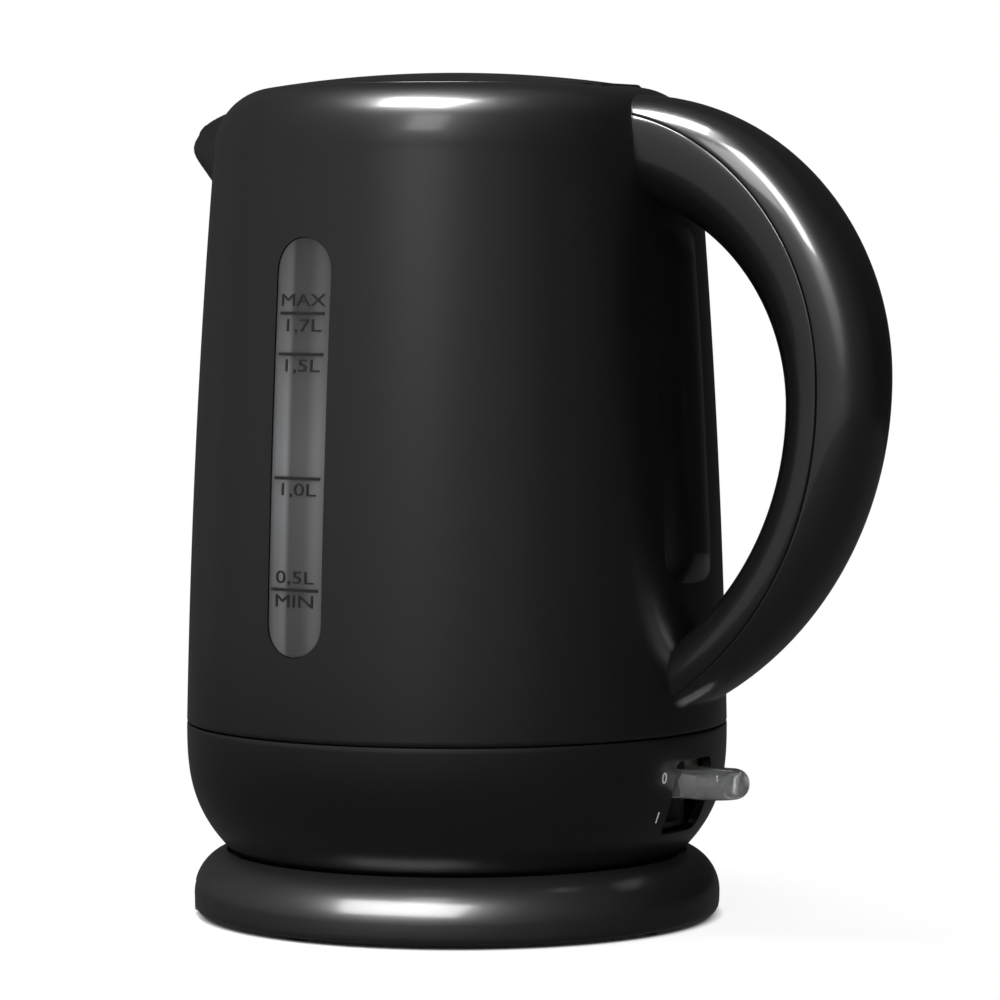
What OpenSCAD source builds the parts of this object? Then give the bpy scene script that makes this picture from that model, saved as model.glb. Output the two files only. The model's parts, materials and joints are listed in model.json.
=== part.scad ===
// Cordless electric kettle, built as separate pieces.
// Millimetres. Z is the turning axis, z = 0 is the table, the handle is at +X and the spout at -X.

/* [Jug body] */
// Height from the table to the top of the lid
total_h = 236; // [226:1:250]
// Height of the seam between body shell and lower housing
seam_z = 54.7; // [52:0.5:57]
// Outer radius at that seam, the widest place of the jug
seam_r = 76; // [74:0.5:78]
// Outer radius where the wall turns into the shoulder
top_r = 67.8; // [66:0.2:69.5]
// How far the wall bows out between seam and shoulder
wall_bow = 1.25; // [0:0.25:3]
// Radius of the rounded shoulder
shoulder_round = 16; // [14:0.5:18]
// Radius of the sphere that the lid top is part of
dome_r = 325; // [280:5:400]
// Thickness of the moulded walls
wall = 2.6; // [2:0.1:3]
// Gap at the seam
seam_gap = 0.4; // [0.2:0.1:1]

/* [Lower housing] */
// Height of the jug's foot ring above the table
foot_z = 15.8; // [15.7:0.1:16.2]
// Gap between the bowl's lowest edge and the rim of the base's recess
recess_gap = 2.2; // [1.6:0.1:3]
// Height of the bowl's lowest edge above the table
bowl_z = 17; // [16.8:0.1:17.6]
// How far the foot ring lies inside the bowl's lowest edge
foot_ring_in = 4; // [3:0.5:6]
// Width of the foot ring
foot_ring_w = 8; // [7:0.5:10]

/* [Base unit] */
// Largest radius of the base
base_r = 74.1; // [73:0.1:77]
// Height of the rounded rim above the table
base_rim_z = 18.8; // [18.4:0.1:19]
// Height of the recess floor that the jug stands on
recess_z = 15.5; // [14.8:0.1:15.6]
// Width of the rim round that recess
rim_w = 9.9; // [9.1:0.1:10.6]
// Wall of the base cover
base_wall = 2.2; // [1.6:0.1:2.6]
// Radius of the cord drum under the base
drum_r = 31; // [29:0.5:34]
// Radius of one rubber foot
pad_r = 3.2; // [2.6:0.1:3.3]
// Bore for the mains cord
cord_bore_r = 3.5; // [2.5:0.1:3.8]

/* [Coupler] */
// Radius of the round power socket
socket_r = 18; // [16:0.5:19]
// Height of the socket's top above the table
socket_z = 27; // [25:0.5:27.5]
// Gap between moving parts of the coupler
coupler_gap = 0.8; // [0.5:0.1:1.2]
// Outer radius of the coupler under the jug
coupler_r = 24.6; // [23.5:0.1:26]

/* [Spout] */
// Distance of the spout's tip from the axis
spout_reach = 87; // [84:0.5:94]
// Radius of the tip
spout_tip_r = 6.6; // [5:0.2:8]
// How far the middle of the tip lies below the lid's top
spout_drop = 19.6; // [17:0.2:22]
// Height of the spout from its foot on the wall to the middle of the tip
spout_rise = 20.4; // [14:0.2:25]
// Radius of the spout's root in plan
spout_root_r = 28; // [22:1:32]
// Wall of the spout
spout_wall = 2.2; // [1.6:0.1:2.6]

/* [Lid] */
// Radius of the lid
lid_r = 49.6; // [49.4:0.1:49.8]
// Gap between the lid and its collar
lid_gap = 0.4; // [0.3:0.1:0.8]
// Radius of the filling mouth
mouth_r = 44.5; // [42:0.5:45.5]
// Wall of the lid
lid_wall = 1.9; // [1.5:0.1:2]
// Radius of the hinge pin
hinge_pin_r = 1.1; // [0.8:0.05:1.2]
// Radius of the hinge barrel
hinge_barrel_r = 1.9; // [1.8:0.05:2.1]
// Radius of the release button
button_r = 9; // [7:0.5:10]
// Distance of the button from the axis
button_x = 26; // [24:0.5:30]
// Travel of the release button and of the bolt
button_travel = 2.5; // [2:0.1:2.6]

/* [Handle] */
// Distance of the handle's outer face from the axis
grip_x = 132.3; // [124:0.5:140]
// Thickness of the grip at its middle
grip_t = 27; // [22:0.2:30]
// Radius of the upper outer curve
grip_up_r = 76.8; // [75:0.2:79]
// Radius of the lower outer curve
grip_down_r = 102; // [98:0.5:104]
// Height of the middle of the outer curve
grip_z = 152.5; // [151:0.5:153.5]
// Radius of the upper inner curve
finger_up_r = 56.7; // [54:0.1:58]
// Radius of the lower inner curve
finger_down_r = 80.8; // [78:0.2:84]
// How far the middle of the inner curve lies below that of the outer curve
finger_drop = 7.5; // [5:0.5:9]
// Width of the handle at its top root
grip_w_top = 36; // [32:0.5:38]
// Width of the handle at its middle
grip_w_mid = 29; // [26:0.5:32]
// Width of the handle at its bottom root
grip_w_low = 28.5; // [25:0.5:32]
// Wall of the handle's shells
grip_wall = 2.4; // [2:0.1:3]
// Height of the spine cover's lower end
spine_z0 = 94; // [93:0.5:98]
// Height of the spine cover's upper end
spine_z1 = 195; // [180:1:195]
// Thickness of the spine cover
spine_t = 3.2; // [2:0.1:4]
// Width of the spine cover, in degrees around the jug
spine_deg = 24; // [18:1:26]

/* [Water gauge] */
// Width of the gauge window
gauge_w = 18; // [14:0.5:20]
// Height of the window's lower end
gauge_z0 = 77.3; // [75:0.5:85]
// Height of the window's upper end
gauge_z1 = 190.3; // [184:0.5:191]
// Place of the window around the jug, in degrees from the handle
gauge_deg = -95.7; // [-110:0.1:-80]
// Height of the fullest mark
mark_max_z = 169.9; // [167:0.5:172]
// Height of the second mark
mark_second_z = 158.9; // [155:0.5:162]
// Height of the third mark
mark_third_z = 125.6; // [122:0.5:130]
// Height of the lowest mark
mark_min_z = 95.6; // [93:0.5:98]

/* [Switch] */
// Height of the switch lever's pivot
switch_z = 41; // [40:0.5:42]
// How far that pivot lies inside the housing's outer face
switch_in = 11.33; // [10.4:0.01:12]
// How far the lever's tip stands out of that face
switch_out = 16; // [9:0.1:17]
// Thickness of the lever
switch_t = 10; // [8:0.5:10.5]
// Width of the lever
switch_w = 16; // [12:0.5:17]
// Width of the slot that the lever comes through
slot_w = 21.4; // [19:0.2:21.8]
// Lowest height of that slot
slot_z0 = 27; // [26:0.5:28]
// Highest height of that slot
slot_z1 = 47.5; // [47:0.5:48]
// Radius of the pivot pin
switch_pin_r = 2; // [1.5:0.1:2.4]

/* [Heater] */
// Height of the steel floor's upper face
floor_z = 65; // [64.5:0.1:66]
// Width of the seal between the steel floor and the wall
seal_w = 4.15; // [3.8:0.05:5]
// Thickness of the steel floor
floor_t = 1.6; // [0.8:0.1:1.8]
// How far the heating element's ring lies inside the screw posts
element_in = 14; // [12:0.5:16]
// Radius of the heating element's tube
element_tube_r = 3.4; // [2.8:0.1:3.8]
// Outer radius of the steam tube
steam_tube_r = 4; // [3.4:0.1:4.4]

/* [Hidden] */
$fn = 96;

// Running and seating clearances
seat = 0.1;
run_gap = 0.03;
body_gap = 0.3;

// Colours
black = "#17181a";
dark = "#26272a";
steel = "#b9bcc0";
copper = "#b87333";
clear = [0.75, 0.78, 0.8, 0.5];

// Recess of the base, and the jug's foot in it
recess_r = base_r - rim_w;
bowl_low_r = recess_r - recess_gap;
foot_ring_r = bowl_low_r - foot_ring_in;
foot_mid_r = foot_ring_r - foot_ring_w / 2;

// Bowl of the lower housing, and the wall between seam and shoulder
bowl_h = seam_z - bowl_z;
bowl_draw = seam_r - bowl_low_r;
function bowl_r(z) = seam_r - bowl_draw * pow((seam_z - z) / bowl_h, 3);

// Shoulder: a circle inside the dome's sphere, tangent to it and to the wall's top
dome_zc = total_h - dome_r;
shoulder_rc = top_r - shoulder_round;
shoulder_zc = dome_zc + sqrt(pow(dome_r - shoulder_round, 2) - pow(shoulder_rc, 2));
shoulder_deg = 90 - asin(shoulder_rc / (dome_r - shoulder_round));
function dome_z(r) = dome_zc + sqrt(dome_r * dome_r - r * r);
wall_h = shoulder_zc - seam_z;
function wall_part(z) = (z - seam_z) / wall_h;
function wall_r(z) = let(t = wall_part(z)) seam_r + (top_r - seam_r) * t + 4 * wall_bow * t * (1 - t);
function shoulder_r(z) = shoulder_rc + sqrt(max(0, pow(shoulder_round, 2) - pow(z - shoulder_zc, 2)));
function body_r(z) = z < seam_z ? bowl_r(z) : z < shoulder_zc ? wall_r(z) : shoulder_r(z);

function bowl_pts(off, z0, z1, n = 12) = [for (i = [0:n]) let(z = z0 + (z1 - z0) * i / n) [bowl_r(z) - off, z]];
function wall_pts(off, z0, z1, n = 12) = [for (i = [0:n]) let(z = z0 + (z1 - z0) * i / n) [wall_r(z) - off, z]];
function arc_pts(c, rx, rz, a0, a1, n = 10) =
    [for (i = [0:n]) let(a = a0 + (a1 - a0) * i / n) c + [rx * cos(a), rz * sin(a)]];
function shoulder_pts(off) = arc_pts([shoulder_rc, shoulder_zc], shoulder_round - off,
    shoulder_round - off, 0, shoulder_deg, 10);
function dome_pts(off, r0, r1, n = 8) = [for (i = [0:n]) let(r = r0 + (r1 - r0) * i / n) [r, dome_z(r) - off]];

module ring(r_in, r_out, z0, z1) {
    rotate_extrude() translate([r_in, z0]) square([r_out - r_in, z1 - z0]);
}
module disc(r, z0, z1) { translate([0, 0, z0]) cylinder(r = r, h = z1 - z0); }
module rod_x(r, x0, x1) { translate([x0, 0, 0]) rotate([0, 90, 0]) cylinder(r = r, h = x1 - x0); }
module rod_y(r, y0, y1) { translate([0, y1, 0]) rotate([90, 0, 0]) cylinder(r = r, h = y1 - y0); }
module block(x0, x1, w, z0, z1) { translate([x0, -w / 2, z0]) cube([x1 - x0, w, z1 - z0]); }
module at(r, deg) { rotate([0, 0, deg]) translate([r, 0, 0]) children(); }
module around(n, r, start = 0) { for (i = [0:n - 1]) at(r, start + 360 * i / n) children(); }

// A screw with a round head below its shank
module screw(shank_r, head_r, z0, z1, head_h = 1.4) {
    disc(head_r, z0, z0 + head_h);
    disc(shank_r, z0 + head_h, z1);
}

// A closed polyhedron from equal rings of points, one after another
module skin(rings) {
    n = len(rings[0]);
    k = len(rings);
    pts = [for (r = rings) each r];
    sides = [for (i = [0:k - 2]) for (j = [0:n - 1]) let(m = (j + 1) % n)
        each [[i * n + j, (i + 1) * n + j, i * n + m], [i * n + m, (i + 1) * n + j, (i + 1) * n + m]]];
    // Each end is closed by a strip between the two halves of its ring
    h = n / 2;
    caps = [for (j = [0:h - 2]) let(a = j, b = j + 1, c = n - 1 - j, d = n - 2 - j, e = (k - 1) * n)
        each [[a, b, c], [b, d, c], [e + a, e + c, e + b], [e + b, e + c, e + d]]];
    polyhedron(points = pts, faces = concat(sides, caps));
}

// ---------------------------------------------------------------- base unit
rim_zc = 6.5;
rim_rc = base_r - 12.1;
rim_end_deg = 72;
plate_r = base_r - 2.7;
plate_z = 1;
plate_t = 2;
channel_top = recess_z - 5.8;
riser_r = plate_r - 8.9;
rim_h = base_rim_z - rim_zc;
foot_pad_h = 2.4;
pad_ring_r = (plate_r + riser_r) / 2;
first_pad_deg = -9.4;
gland_deg = 210.3;
gland_w = 13;
gland_z1 = 9.6;
gland_z0 = 1.2;
cord_z = 5;
screw_ring_r = 46;
socket_hole_r = socket_r + 0.5;

module base_outline() {
    polygon(concat([[0, plate_z], [base_r - 2.5, plate_z], [base_r - 0.9, plate_z + 0.5],
        [base_r, plate_z + 1.9]], arc_pts([rim_rc, rim_zc], base_r - rim_rc, rim_h, 0, rim_end_deg, 14),
        [[recess_r + 0.5, base_rim_z - 1.2], [recess_r, base_rim_z - 2], [recess_r, recess_z],
        [0, recess_z]]));
}
module base_hollow() {
    floor_under = recess_z - base_wall;
    a = asin((floor_under - rim_zc) / (rim_h - base_wall));
    polygon(concat([[0, plate_z - 1], [base_r - 2.5, plate_z - 1], [base_r - 2.5, plate_z + 1],
        [base_r - base_wall, plate_z + 2.2]],
        arc_pts([rim_rc, rim_zc], base_r - rim_rc - base_wall, rim_h - base_wall, 0, a, 8),
        [[0, floor_under]]));
}
module cord_notch(extra = 0) {
    rotate([0, 0, gland_deg]) translate([riser_r - 4, -gland_w / 2 - extra, plate_z - 2])
        cube([base_r, gland_w + 2 * extra, gland_z1 + extra - plate_z + 2]);
}
module base_cover() {
    color(black) {
        difference() {
            rotate_extrude() base_outline();
            rotate_extrude() base_hollow();
            disc(socket_hole_r, 0, base_rim_z);
            cord_notch(seat);
        }
        difference() {
            around(3, screw_ring_r, 30) disc(3.5, channel_top + plate_t, recess_z - base_wall + 0.01);
            around(3, screw_ring_r, 30) disc(1.25, 0, recess_z - base_wall);
        }
    }
}
module base_plate() {
    color(dark) difference() {
        rotate_extrude() polygon([[0, 0], [drum_r + 2, 0], [drum_r + 2, 1.6], [drum_r - 0.2, 1.6],
            [drum_r - 0.2, channel_top], [riser_r, channel_top], [riser_r, plate_z],
            [plate_r, plate_z], [plate_r, plate_z + plate_t], [riser_r + 1.8, plate_z + plate_t],
            [riser_r + 1.8, channel_top + 1.8], [drum_r - 2, channel_top + 1.8], [drum_r - 2, 1.8],
            [0, 1.8]]);
        around(4, pad_ring_r, first_pad_deg) disc(pad_r + seat, plate_z - 1, foot_pad_h + 0.05);
        around(3, screw_ring_r, 30) disc(1.7, 0, base_rim_z);
        cord_notch(seat);
        at(0, gland_deg) translate([drum_r, 0, cord_z]) rod_x(cord_bore_r + 0.5, -8, 8);
    }
}
module base_feet() {
    color("#111111") around(4, pad_ring_r, first_pad_deg) disc(pad_r, 0, foot_pad_h);
}
module base_screws() {
    color(steel) around(3, screw_ring_r, 30) screw(1.2, 3, channel_top - 1.5, recess_z - base_wall - 0.3);
}
groove_in = 5.2;
groove_out = 10.5;
groove_w = 3;
module socket_housing() {
    color(dark) difference() {
        union() {
            disc(socket_r, 1.8 + seat, socket_z);
            disc(socket_r + 5, recess_z - base_wall - 2, recess_z - base_wall - seat);
        }
        ring(groove_in, groove_in + groove_w, socket_z - 8, socket_z + 1);
        ring(groove_out, groove_out + groove_w, socket_z - 8, socket_z + 1);
        disc(3.4, socket_z - 8.5, socket_z + 1);
        at(0, gland_deg) translate([0, 0, cord_z]) rod_x(cord_bore_r, 9, 30);
    }
}
module socket_contacts() {
    color(copper) {
        ring(groove_in + seat, groove_in + groove_w - seat, socket_z - 8, socket_z - 6.8);
        ring(groove_out + seat, groove_out + groove_w - seat, socket_z - 8, socket_z - 6.8);
        disc(3.3, socket_z - 8.5, socket_z - 7.6);
    }
}
gland_half_deg = asin(gland_w / 2 / base_r);
module cord_gland() {
    color(dark) difference() {
        rotate([0, 0, gland_deg - gland_half_deg]) rotate_extrude(angle = 2 * gland_half_deg)
            polygon([[riser_r - 2, gland_z0], [base_r - seat, gland_z0], [base_r - seat, gland_z1 - 3],
                [base_r - 0.5, gland_z1], [riser_r - 2, gland_z1]]);
        at(0, gland_deg) translate([0, 0, cord_z]) rod_x(cord_bore_r, 20, 90);
    }
}
clamp_w = 14;
clamp_x1 = sqrt(pow(drum_r - 2, 2) - pow(clamp_w / 2, 2)) - body_gap;
module cord_clamp() {
    color(dark) at(0, gland_deg) difference() {
        block(socket_r + seat, clamp_x1, clamp_w, 1.8 + seat, channel_top - 1);
        translate([0, 0, cord_z]) rod_x(cord_bore_r, 0, 60);
    }
}

// ---------------------------------------------------------------- coupler
cavity_r = socket_r + coupler_gap;
coupler_z0 = foot_z + 0.4;
cavity_z = socket_z + 2.5;
coupler_z1 = cavity_z + 3.5;
module coupler_housing() {
    color(dark) rotate_extrude() polygon([[cavity_r, coupler_z0], [coupler_r, coupler_z0],
        [coupler_r, coupler_z1], [0, coupler_z1], [0, cavity_z], [cavity_r, cavity_z]]);
}
module coupler_pins() {
    color(copper) {
        disc(2.2, socket_z - 7, cavity_z);
        ring(groove_in + 1, groove_in + groove_w - 1, socket_z - 6, cavity_z);
        ring(groove_out + 1, groove_out + groove_w - 1, socket_z - 6, cavity_z);
    }
}

// ---------------------------------------------------------------- jug body
collar_r = lid_r + lid_gap;
collar_wall = 2.5;
ledge_z1 = total_h - 14.5;
ledge_z0 = ledge_z1 - 2;
hinge_z = dome_z(lid_r) - 1.7;
hinge_x = lid_r + 1.2;
hinge_w = 23;
hinge_lug_w = 4.5;
bolt_z0 = ledge_z1 + 3.3;
bolt_h = 2.4;
bolt_w = 9;
notch_w = 12;
seal_z0 = floor_z - floor_t - 1.1;
seal_z1 = floor_z + 1.3;
floor_r = wall_r(seal_z1) - wall - seal_w;
bracket_w = 26;
// The steam tube stands clear of the wall at the top and of the seal round the floor
steam_r = min(top_r - wall - steam_tube_r - 0.74, floor_r - steam_tube_r - 4.53);
steam_y = bracket_w / 2 + steam_tube_r + 1.7;
steam_x = sqrt(pow(steam_r, 2) - pow(steam_y, 2));

module gauge_prism(grow) {
    w = gauge_w / 2 + grow;
    rotate([0, 0, gauge_deg]) {
        for (z = [gauge_z0 + gauge_w / 2, gauge_z1 - gauge_w / 2])
            translate([0, 0, z]) rod_x(w, 50, 100);
        block(50, 100, 2 * w, gauge_z0 + gauge_w / 2, gauge_z1 - gauge_w / 2);
    }
}
spout_tip_z = total_h - spout_drop;
spout_foot_z = spout_tip_z - spout_rise;
spout_foot_r = 5;
spout_foot_in = 1.3;
// Middle of the spout's round root, whose front lies just inside the wall
spout_root_x = spout_root_r - top_r + 2.8;
// Outer form of the spout, or its channel when it is shrunk by the wall
module spout_form(shrink) {
    hull($fn = 32) {
        translate([spout_tip_r - spout_reach, 0, spout_tip_z]) sphere(r = spout_tip_r - shrink, $fn = 32);
        translate([spout_root_x, 0, spout_tip_z - 4])
            cylinder(r = spout_root_r - shrink, h = total_h - 5 - shrink - spout_tip_z + 4, $fn = 48);
        translate([spout_foot_in + spout_foot_r - wall_r(spout_foot_z), 0, spout_foot_z])
            sphere(r = spout_foot_r - shrink, $fn = 24);
    }
}
// Open mouth in the spout's upper side
module spout_mouth() {
    hull($fn = 32) {
        translate([spout_tip_r - spout_reach, 0, spout_tip_z])
            cylinder(r = spout_tip_r - spout_wall, h = 30, $fn = 32);
        translate([spout_root_x, 0, spout_tip_z])
            cylinder(r = spout_root_r - spout_wall, h = 30, $fn = 48);
    }
}
module body_outline() {
    polygon(concat([[0, seam_z + seam_gap / 2]], wall_pts(0, seam_z + seam_gap / 2, shoulder_zc, 12),
        shoulder_pts(0), dome_pts(0, shoulder_rc + shoulder_round * cos(shoulder_deg) - 0.5, 0, 8)));
}
module body_hollow() {
    polygon(concat([[0, seam_z - 1], [wall_r(seam_z) - wall, seam_z - 1]],
        wall_pts(wall, seam_z, seal_z1 + seat, 3),
        [[floor_r + 0.8, seal_z1 + seat], [floor_r + 0.8, seal_z1 + 2]],
        wall_pts(wall, seal_z1 + 2, shoulder_zc, 12), shoulder_pts(wall),
        [[collar_r + collar_wall, dome_z(collar_r) - wall], [collar_r + collar_wall, ledge_z0],
        [0, ledge_z0]]));
}
// Round well that the lid sits in, and the filling mouth below it
module lid_well() {
    disc(collar_r, ledge_z1, total_h + 1);
    disc(mouth_r, ledge_z0 - 1, ledge_z1 + 1);
}
module at_hinge() { translate([hinge_x, 0, hinge_z]) children(); }
module body_shell() {
    color(black) difference() {
        union() {
            shell_form();
            hinge_lugs();
            filter_rails();
            tube_clip();
        }
        at_hinge() rod_y(hinge_pin_r + 0.01, -lug_end, lug_end);
    }
}
module shell_form() {
    difference() {
        union() {
            rotate_extrude() body_outline();
            spout_form(0);
        }
        rotate_extrude() body_hollow();
        difference() {
            spout_form(spout_wall);
            disc(collar_r + collar_wall, 0, 300);
        }
        intersection() {
            spout_mouth();
            translate([-2 * spout_reach, -spout_root_r, spout_tip_z])
                cube([2 * spout_reach - top_r + 2.5, 2 * spout_root_r, total_h]);
        }
        lid_well();
        gauge_prism(seat);
        at_hinge() {
            rod_y(hinge_barrel_r + 0.3, -hinge_w / 2 - 0.2, hinge_w / 2 + 0.2);
            block(-4, hinge_barrel_r + 0.3, hinge_w + 0.4, 0, 4);
            block(-4, 0.3, hinge_w + 2 * hinge_lug_w, 0.7, 4);
        }
        translate([-collar_r - collar_wall - 0.5, -notch_w / 2, bolt_z0 - 0.6])
            cube([collar_wall + 2, notch_w, 20]);
    }
}
// Lugs that hold the ends of the hinge pin
lug_end = hinge_w / 2 + hinge_lug_w + 0.2;
module hinge_lugs() {
    for (s = [-1, 1]) at_hinge() translate([0, s * (lug_end - hinge_lug_w / 2), 0])
        block(-2.2, 3, hinge_lug_w, -3.4, 0.4);
}
filter_r = top_r - 8.8;
filter_t = 2.4;
filter_deg = 40;
filter_h = 22;
filter_z1 = ledge_z0 - 0.5;
filter_z0 = filter_z1 - filter_h;
// A sector of a ring, centred on the spout's side
module spout_sector(r0, r1, z0, z1, deg, mid = 180) {
    rotate([0, 0, mid - deg / 2]) rotate_extrude(angle = deg) translate([r0, z0]) square([r1 - r0, z1 - z0]);
}
module filter_rails() {
    for (s = [-1, 1])
        spout_sector(filter_r - 1.5, wall_r(filter_z0) - wall + 0.3, filter_z0 - 3, shoulder_zc,
            3, 180 + s * (filter_deg / 2 + 1.8));
}
module tube_clip() {
    translate([steam_x, steam_y, 0]) rotate([0, 0, atan2(steam_y, steam_x)])
        block(steam_tube_r + 0.2, wall_r(150) - wall + 0.4 - norm([steam_x, steam_y]), 6, 150, 158);
}
module gauge_window() {
    color(clear) intersection() {
        rotate_extrude() polygon(concat(wall_pts(wall, gauge_z0 - 5, gauge_z1 + 5, 8),
            wall_pts(body_gap, gauge_z1 + 5, gauge_z0 - 5, 8)));
        gauge_prism(0);
    }
}
mark_t = 0.25;
mark_half = 0.4;
function mark_r(z) = wall_r(z) - body_gap + 0.01;
module gauge_marks() {
    color("#0c0d0f") for (z = [mark_max_z, mark_second_z, mark_third_z, mark_min_z])
        rotate([0, 0, gauge_deg - 6]) rotate_extrude(angle = 12)
            polygon([for (c = [[0, -1], [1, -1], [1, 1], [0, 1]])
                [mark_r(z + c[1] * mark_half) + c[0] * mark_t, z + c[1] * mark_half]]);
}
module spine_cover() {
    color(black) rotate([0, 0, -spine_deg / 2]) rotate_extrude(angle = spine_deg)
        polygon(concat(wall_pts(-0.05, spine_z0, spine_z1, 8), [[wall_r(spine_z1 - 3) + spine_t, spine_z1 - 3]],
            wall_pts(-spine_t, spine_z1 - 4, spine_z0 + 4, 8), [[wall_r(spine_z0 + 3) + spine_t, spine_z0 + 3]]));
}

// ---------------------------------------------------------------- handle
// Outer and inner curves of the loop; a is 90 at the top and negative below the middle
finger_x = grip_x - grip_t;
finger_z = grip_z - finger_drop;
function outer_pt(a) = a >= 0 ? [grip_x - grip_up_r + grip_up_r * cos(a), grip_z + grip_up_r * sin(a)]
    : [grip_x - grip_down_r + grip_down_r * cos(a), grip_z + grip_down_r * sin(a)];
function inner_pt(a) = a >= 0 ? [finger_x - finger_up_r + finger_up_r * cos(a), finger_z + finger_up_r * sin(a)]
    : [finger_x - finger_down_r + finger_down_r * cos(a), finger_z + finger_down_r * sin(a)];
function grip_half_w(a) = a >= 0 ? (grip_w_mid + (grip_w_top - grip_w_mid) * a / 90) / 2
    : (grip_w_mid + (grip_w_low - grip_w_mid) * min(1, -a / 60)) / 2;
// Where the two shells part, in degrees from the outer ridge
function part_deg(a) = a >= 0 ? 90 - 40 * pow(a / 90, 1.5) : 90 - 30 * pow(min(1, -a / 65), 2);
// Gap between the ends of the shells and the jug
root_gap = 0.4;
function soft(v) = sign(v) * pow(abs(v), 0.84);
// A point of the grip's surface, moved in by off
function grip_pt(a, s, off) = let(o = outer_pt(a), i = inner_pt(a), c = (o + i) / 2, h = (o - i) / 2,
        k = (norm(h) - off) / norm(h), v = h * k * soft(cos(s)))
    [c[0] + v[0], (grip_half_w(a) - off) * soft(sin(s)), c[1] + v[1]];
function root_miss(p) = norm([p[0], p[1]]) - body_r(p[2]) - root_gap;
// Angle where the line s of the surface meets the body, between a_out (clear of it) and a_in (inside it)
function root_deg(s, off, a_out, a_in, kind, n = 16) = let(m = (a_out + a_in) / 2)
    n == 0 ? m : root_miss(grip_pt(m, line_deg(s, m, kind), off)) > 0
        ? root_deg(s, off, m, a_in, kind, n - 1) : root_deg(s, off, a_out, m, kind, n - 1);
// s runs from -1 to 1 across a shell; kind 0 is the outer shell and 1 the inner one
part_gap_deg = 0.4;
function line_deg(s, a, kind) = kind == 0 ? s * (part_deg(a) - part_gap_deg)
    : 180 + s * (180 - part_deg(a) - part_gap_deg);
function shell_line(s, off, kind, k) =
    let(a1 = root_deg(s, off, 20, 112, kind), a0 = root_deg(s, off, -20, -88, kind))
    [for (i = [0:k]) let(a = a0 + (a1 - a0) * i / k) grip_pt(a, line_deg(s, a, kind), off)];
module grip_shell(kind, m = 12, k = 40) {
    outer = [for (j = [0:m]) shell_line(-1 + 2 * j / m, 0, kind, k)];
    inner = [for (j = [m:-1:0]) shell_line(-1 + 2 * j / m, grip_wall, kind, k)];
    lines = concat(outer, inner);
    skin([for (i = [0:k]) [for (l = lines) l[i]]]);
}
module handle_outer() { color(black) grip_shell(0); }
module handle_inner() { color(black) grip_shell(1); }
rib_degs = [60, 30, 0, -25, -48];
rib_t = 1.6;
module handle_ribs() {
    color(dark) for (a = rib_degs) {
        d = rib_t / 2 / (grip_up_r - grip_t / 2) * 57.3;
        skin([for (b = [a - d, a + d]) [for (j = [0:23]) grip_pt(b, j * 15, grip_wall + body_gap)]]);
    }
}

// ---------------------------------------------------------------- lower housing
housing_z1 = seam_z - seam_gap / 2;
housing_floor = foot_z + 3.4;
opening_r = coupler_r + 0.8;
post_ring_r = foot_mid_r;
post_r = 3.8;
module rounded_slot(w, h, r, depth) {
    rotate([0, 90, 0]) rotate([0, 0, 90]) linear_extrude(depth) {
        square([w - 2 * r, h], center = true);
        square([w, h - 2 * r], center = true);
        for (x = [-1, 1], y = [-1, 1]) translate([x * (w / 2 - r), y * (h / 2 - r)]) circle(r, $fn = 32);
    }
}
module lower_housing() {
    color(black) difference() {
        rotate_extrude() polygon(concat([[opening_r, bowl_z + 0.2], [foot_ring_r - foot_ring_w, bowl_z + 0.2],
            [foot_ring_r - foot_ring_w, foot_z], [foot_ring_r, foot_z], [foot_ring_r + 2.3, foot_z + 0.4]],
            bowl_pts(0, bowl_z, housing_z1, 18),
            [[wall_r(seam_z) - wall - 0.3, housing_z1], [wall_r(seam_z) - wall - 0.3, seal_z0 - 4],
            [wall_r(seam_z) - wall - 2.6, seal_z0 - 4]], bowl_pts(wall, housing_z1 - 4, housing_floor + 1.4, 14),
            [[bowl_r(housing_floor + 1.4) - wall - 3, housing_floor], [opening_r + 2, housing_floor],
            [opening_r + 2, coupler_z1 - 2], [opening_r, coupler_z1 - 2]]));
        translate([switch_x - 2, 0, (slot_z0 + slot_z1) / 2]) rounded_slot(slot_w, slot_z1 - slot_z0, 3, 30);
        around(3, post_ring_r, 90) {
            disc(3.4, foot_z - 1, foot_z + 1.6);
            disc(1.6, foot_z, housing_floor + 1);
        }
    }
}
module housing_screws() {
    color(steel) around(3, post_ring_r, 90) screw(1.35, 3.1, foot_z + 0.2, foot_z + 15);
}
clamp_in = post_ring_r - 4;
module clamp_ring() {
    color(dark) difference() {
        union() {
            rotate_extrude() polygon([[clamp_in, seal_z0 - 3.9], [wall_r(seam_z) - wall - 0.4, seal_z0 - 3.9],
                [wall_r(seam_z) - wall - 0.4, seal_z0 - seat], [spreader_r + 0.5, seal_z0 - seat],
                [spreader_r + 0.5, spreader_z0 - seat], [clamp_in, spreader_z0 - seat]]);
            around(3, post_ring_r, 90) disc(post_r, housing_floor + seat, seal_z0 - 3.8);
        }
        around(3, post_ring_r, 90) disc(1.4, 0, foot_z + 15.2);
        translate([steam_x, steam_y, 0]) disc(steam_tube_r + 0.3, 0, 100);
    }
}

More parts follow.
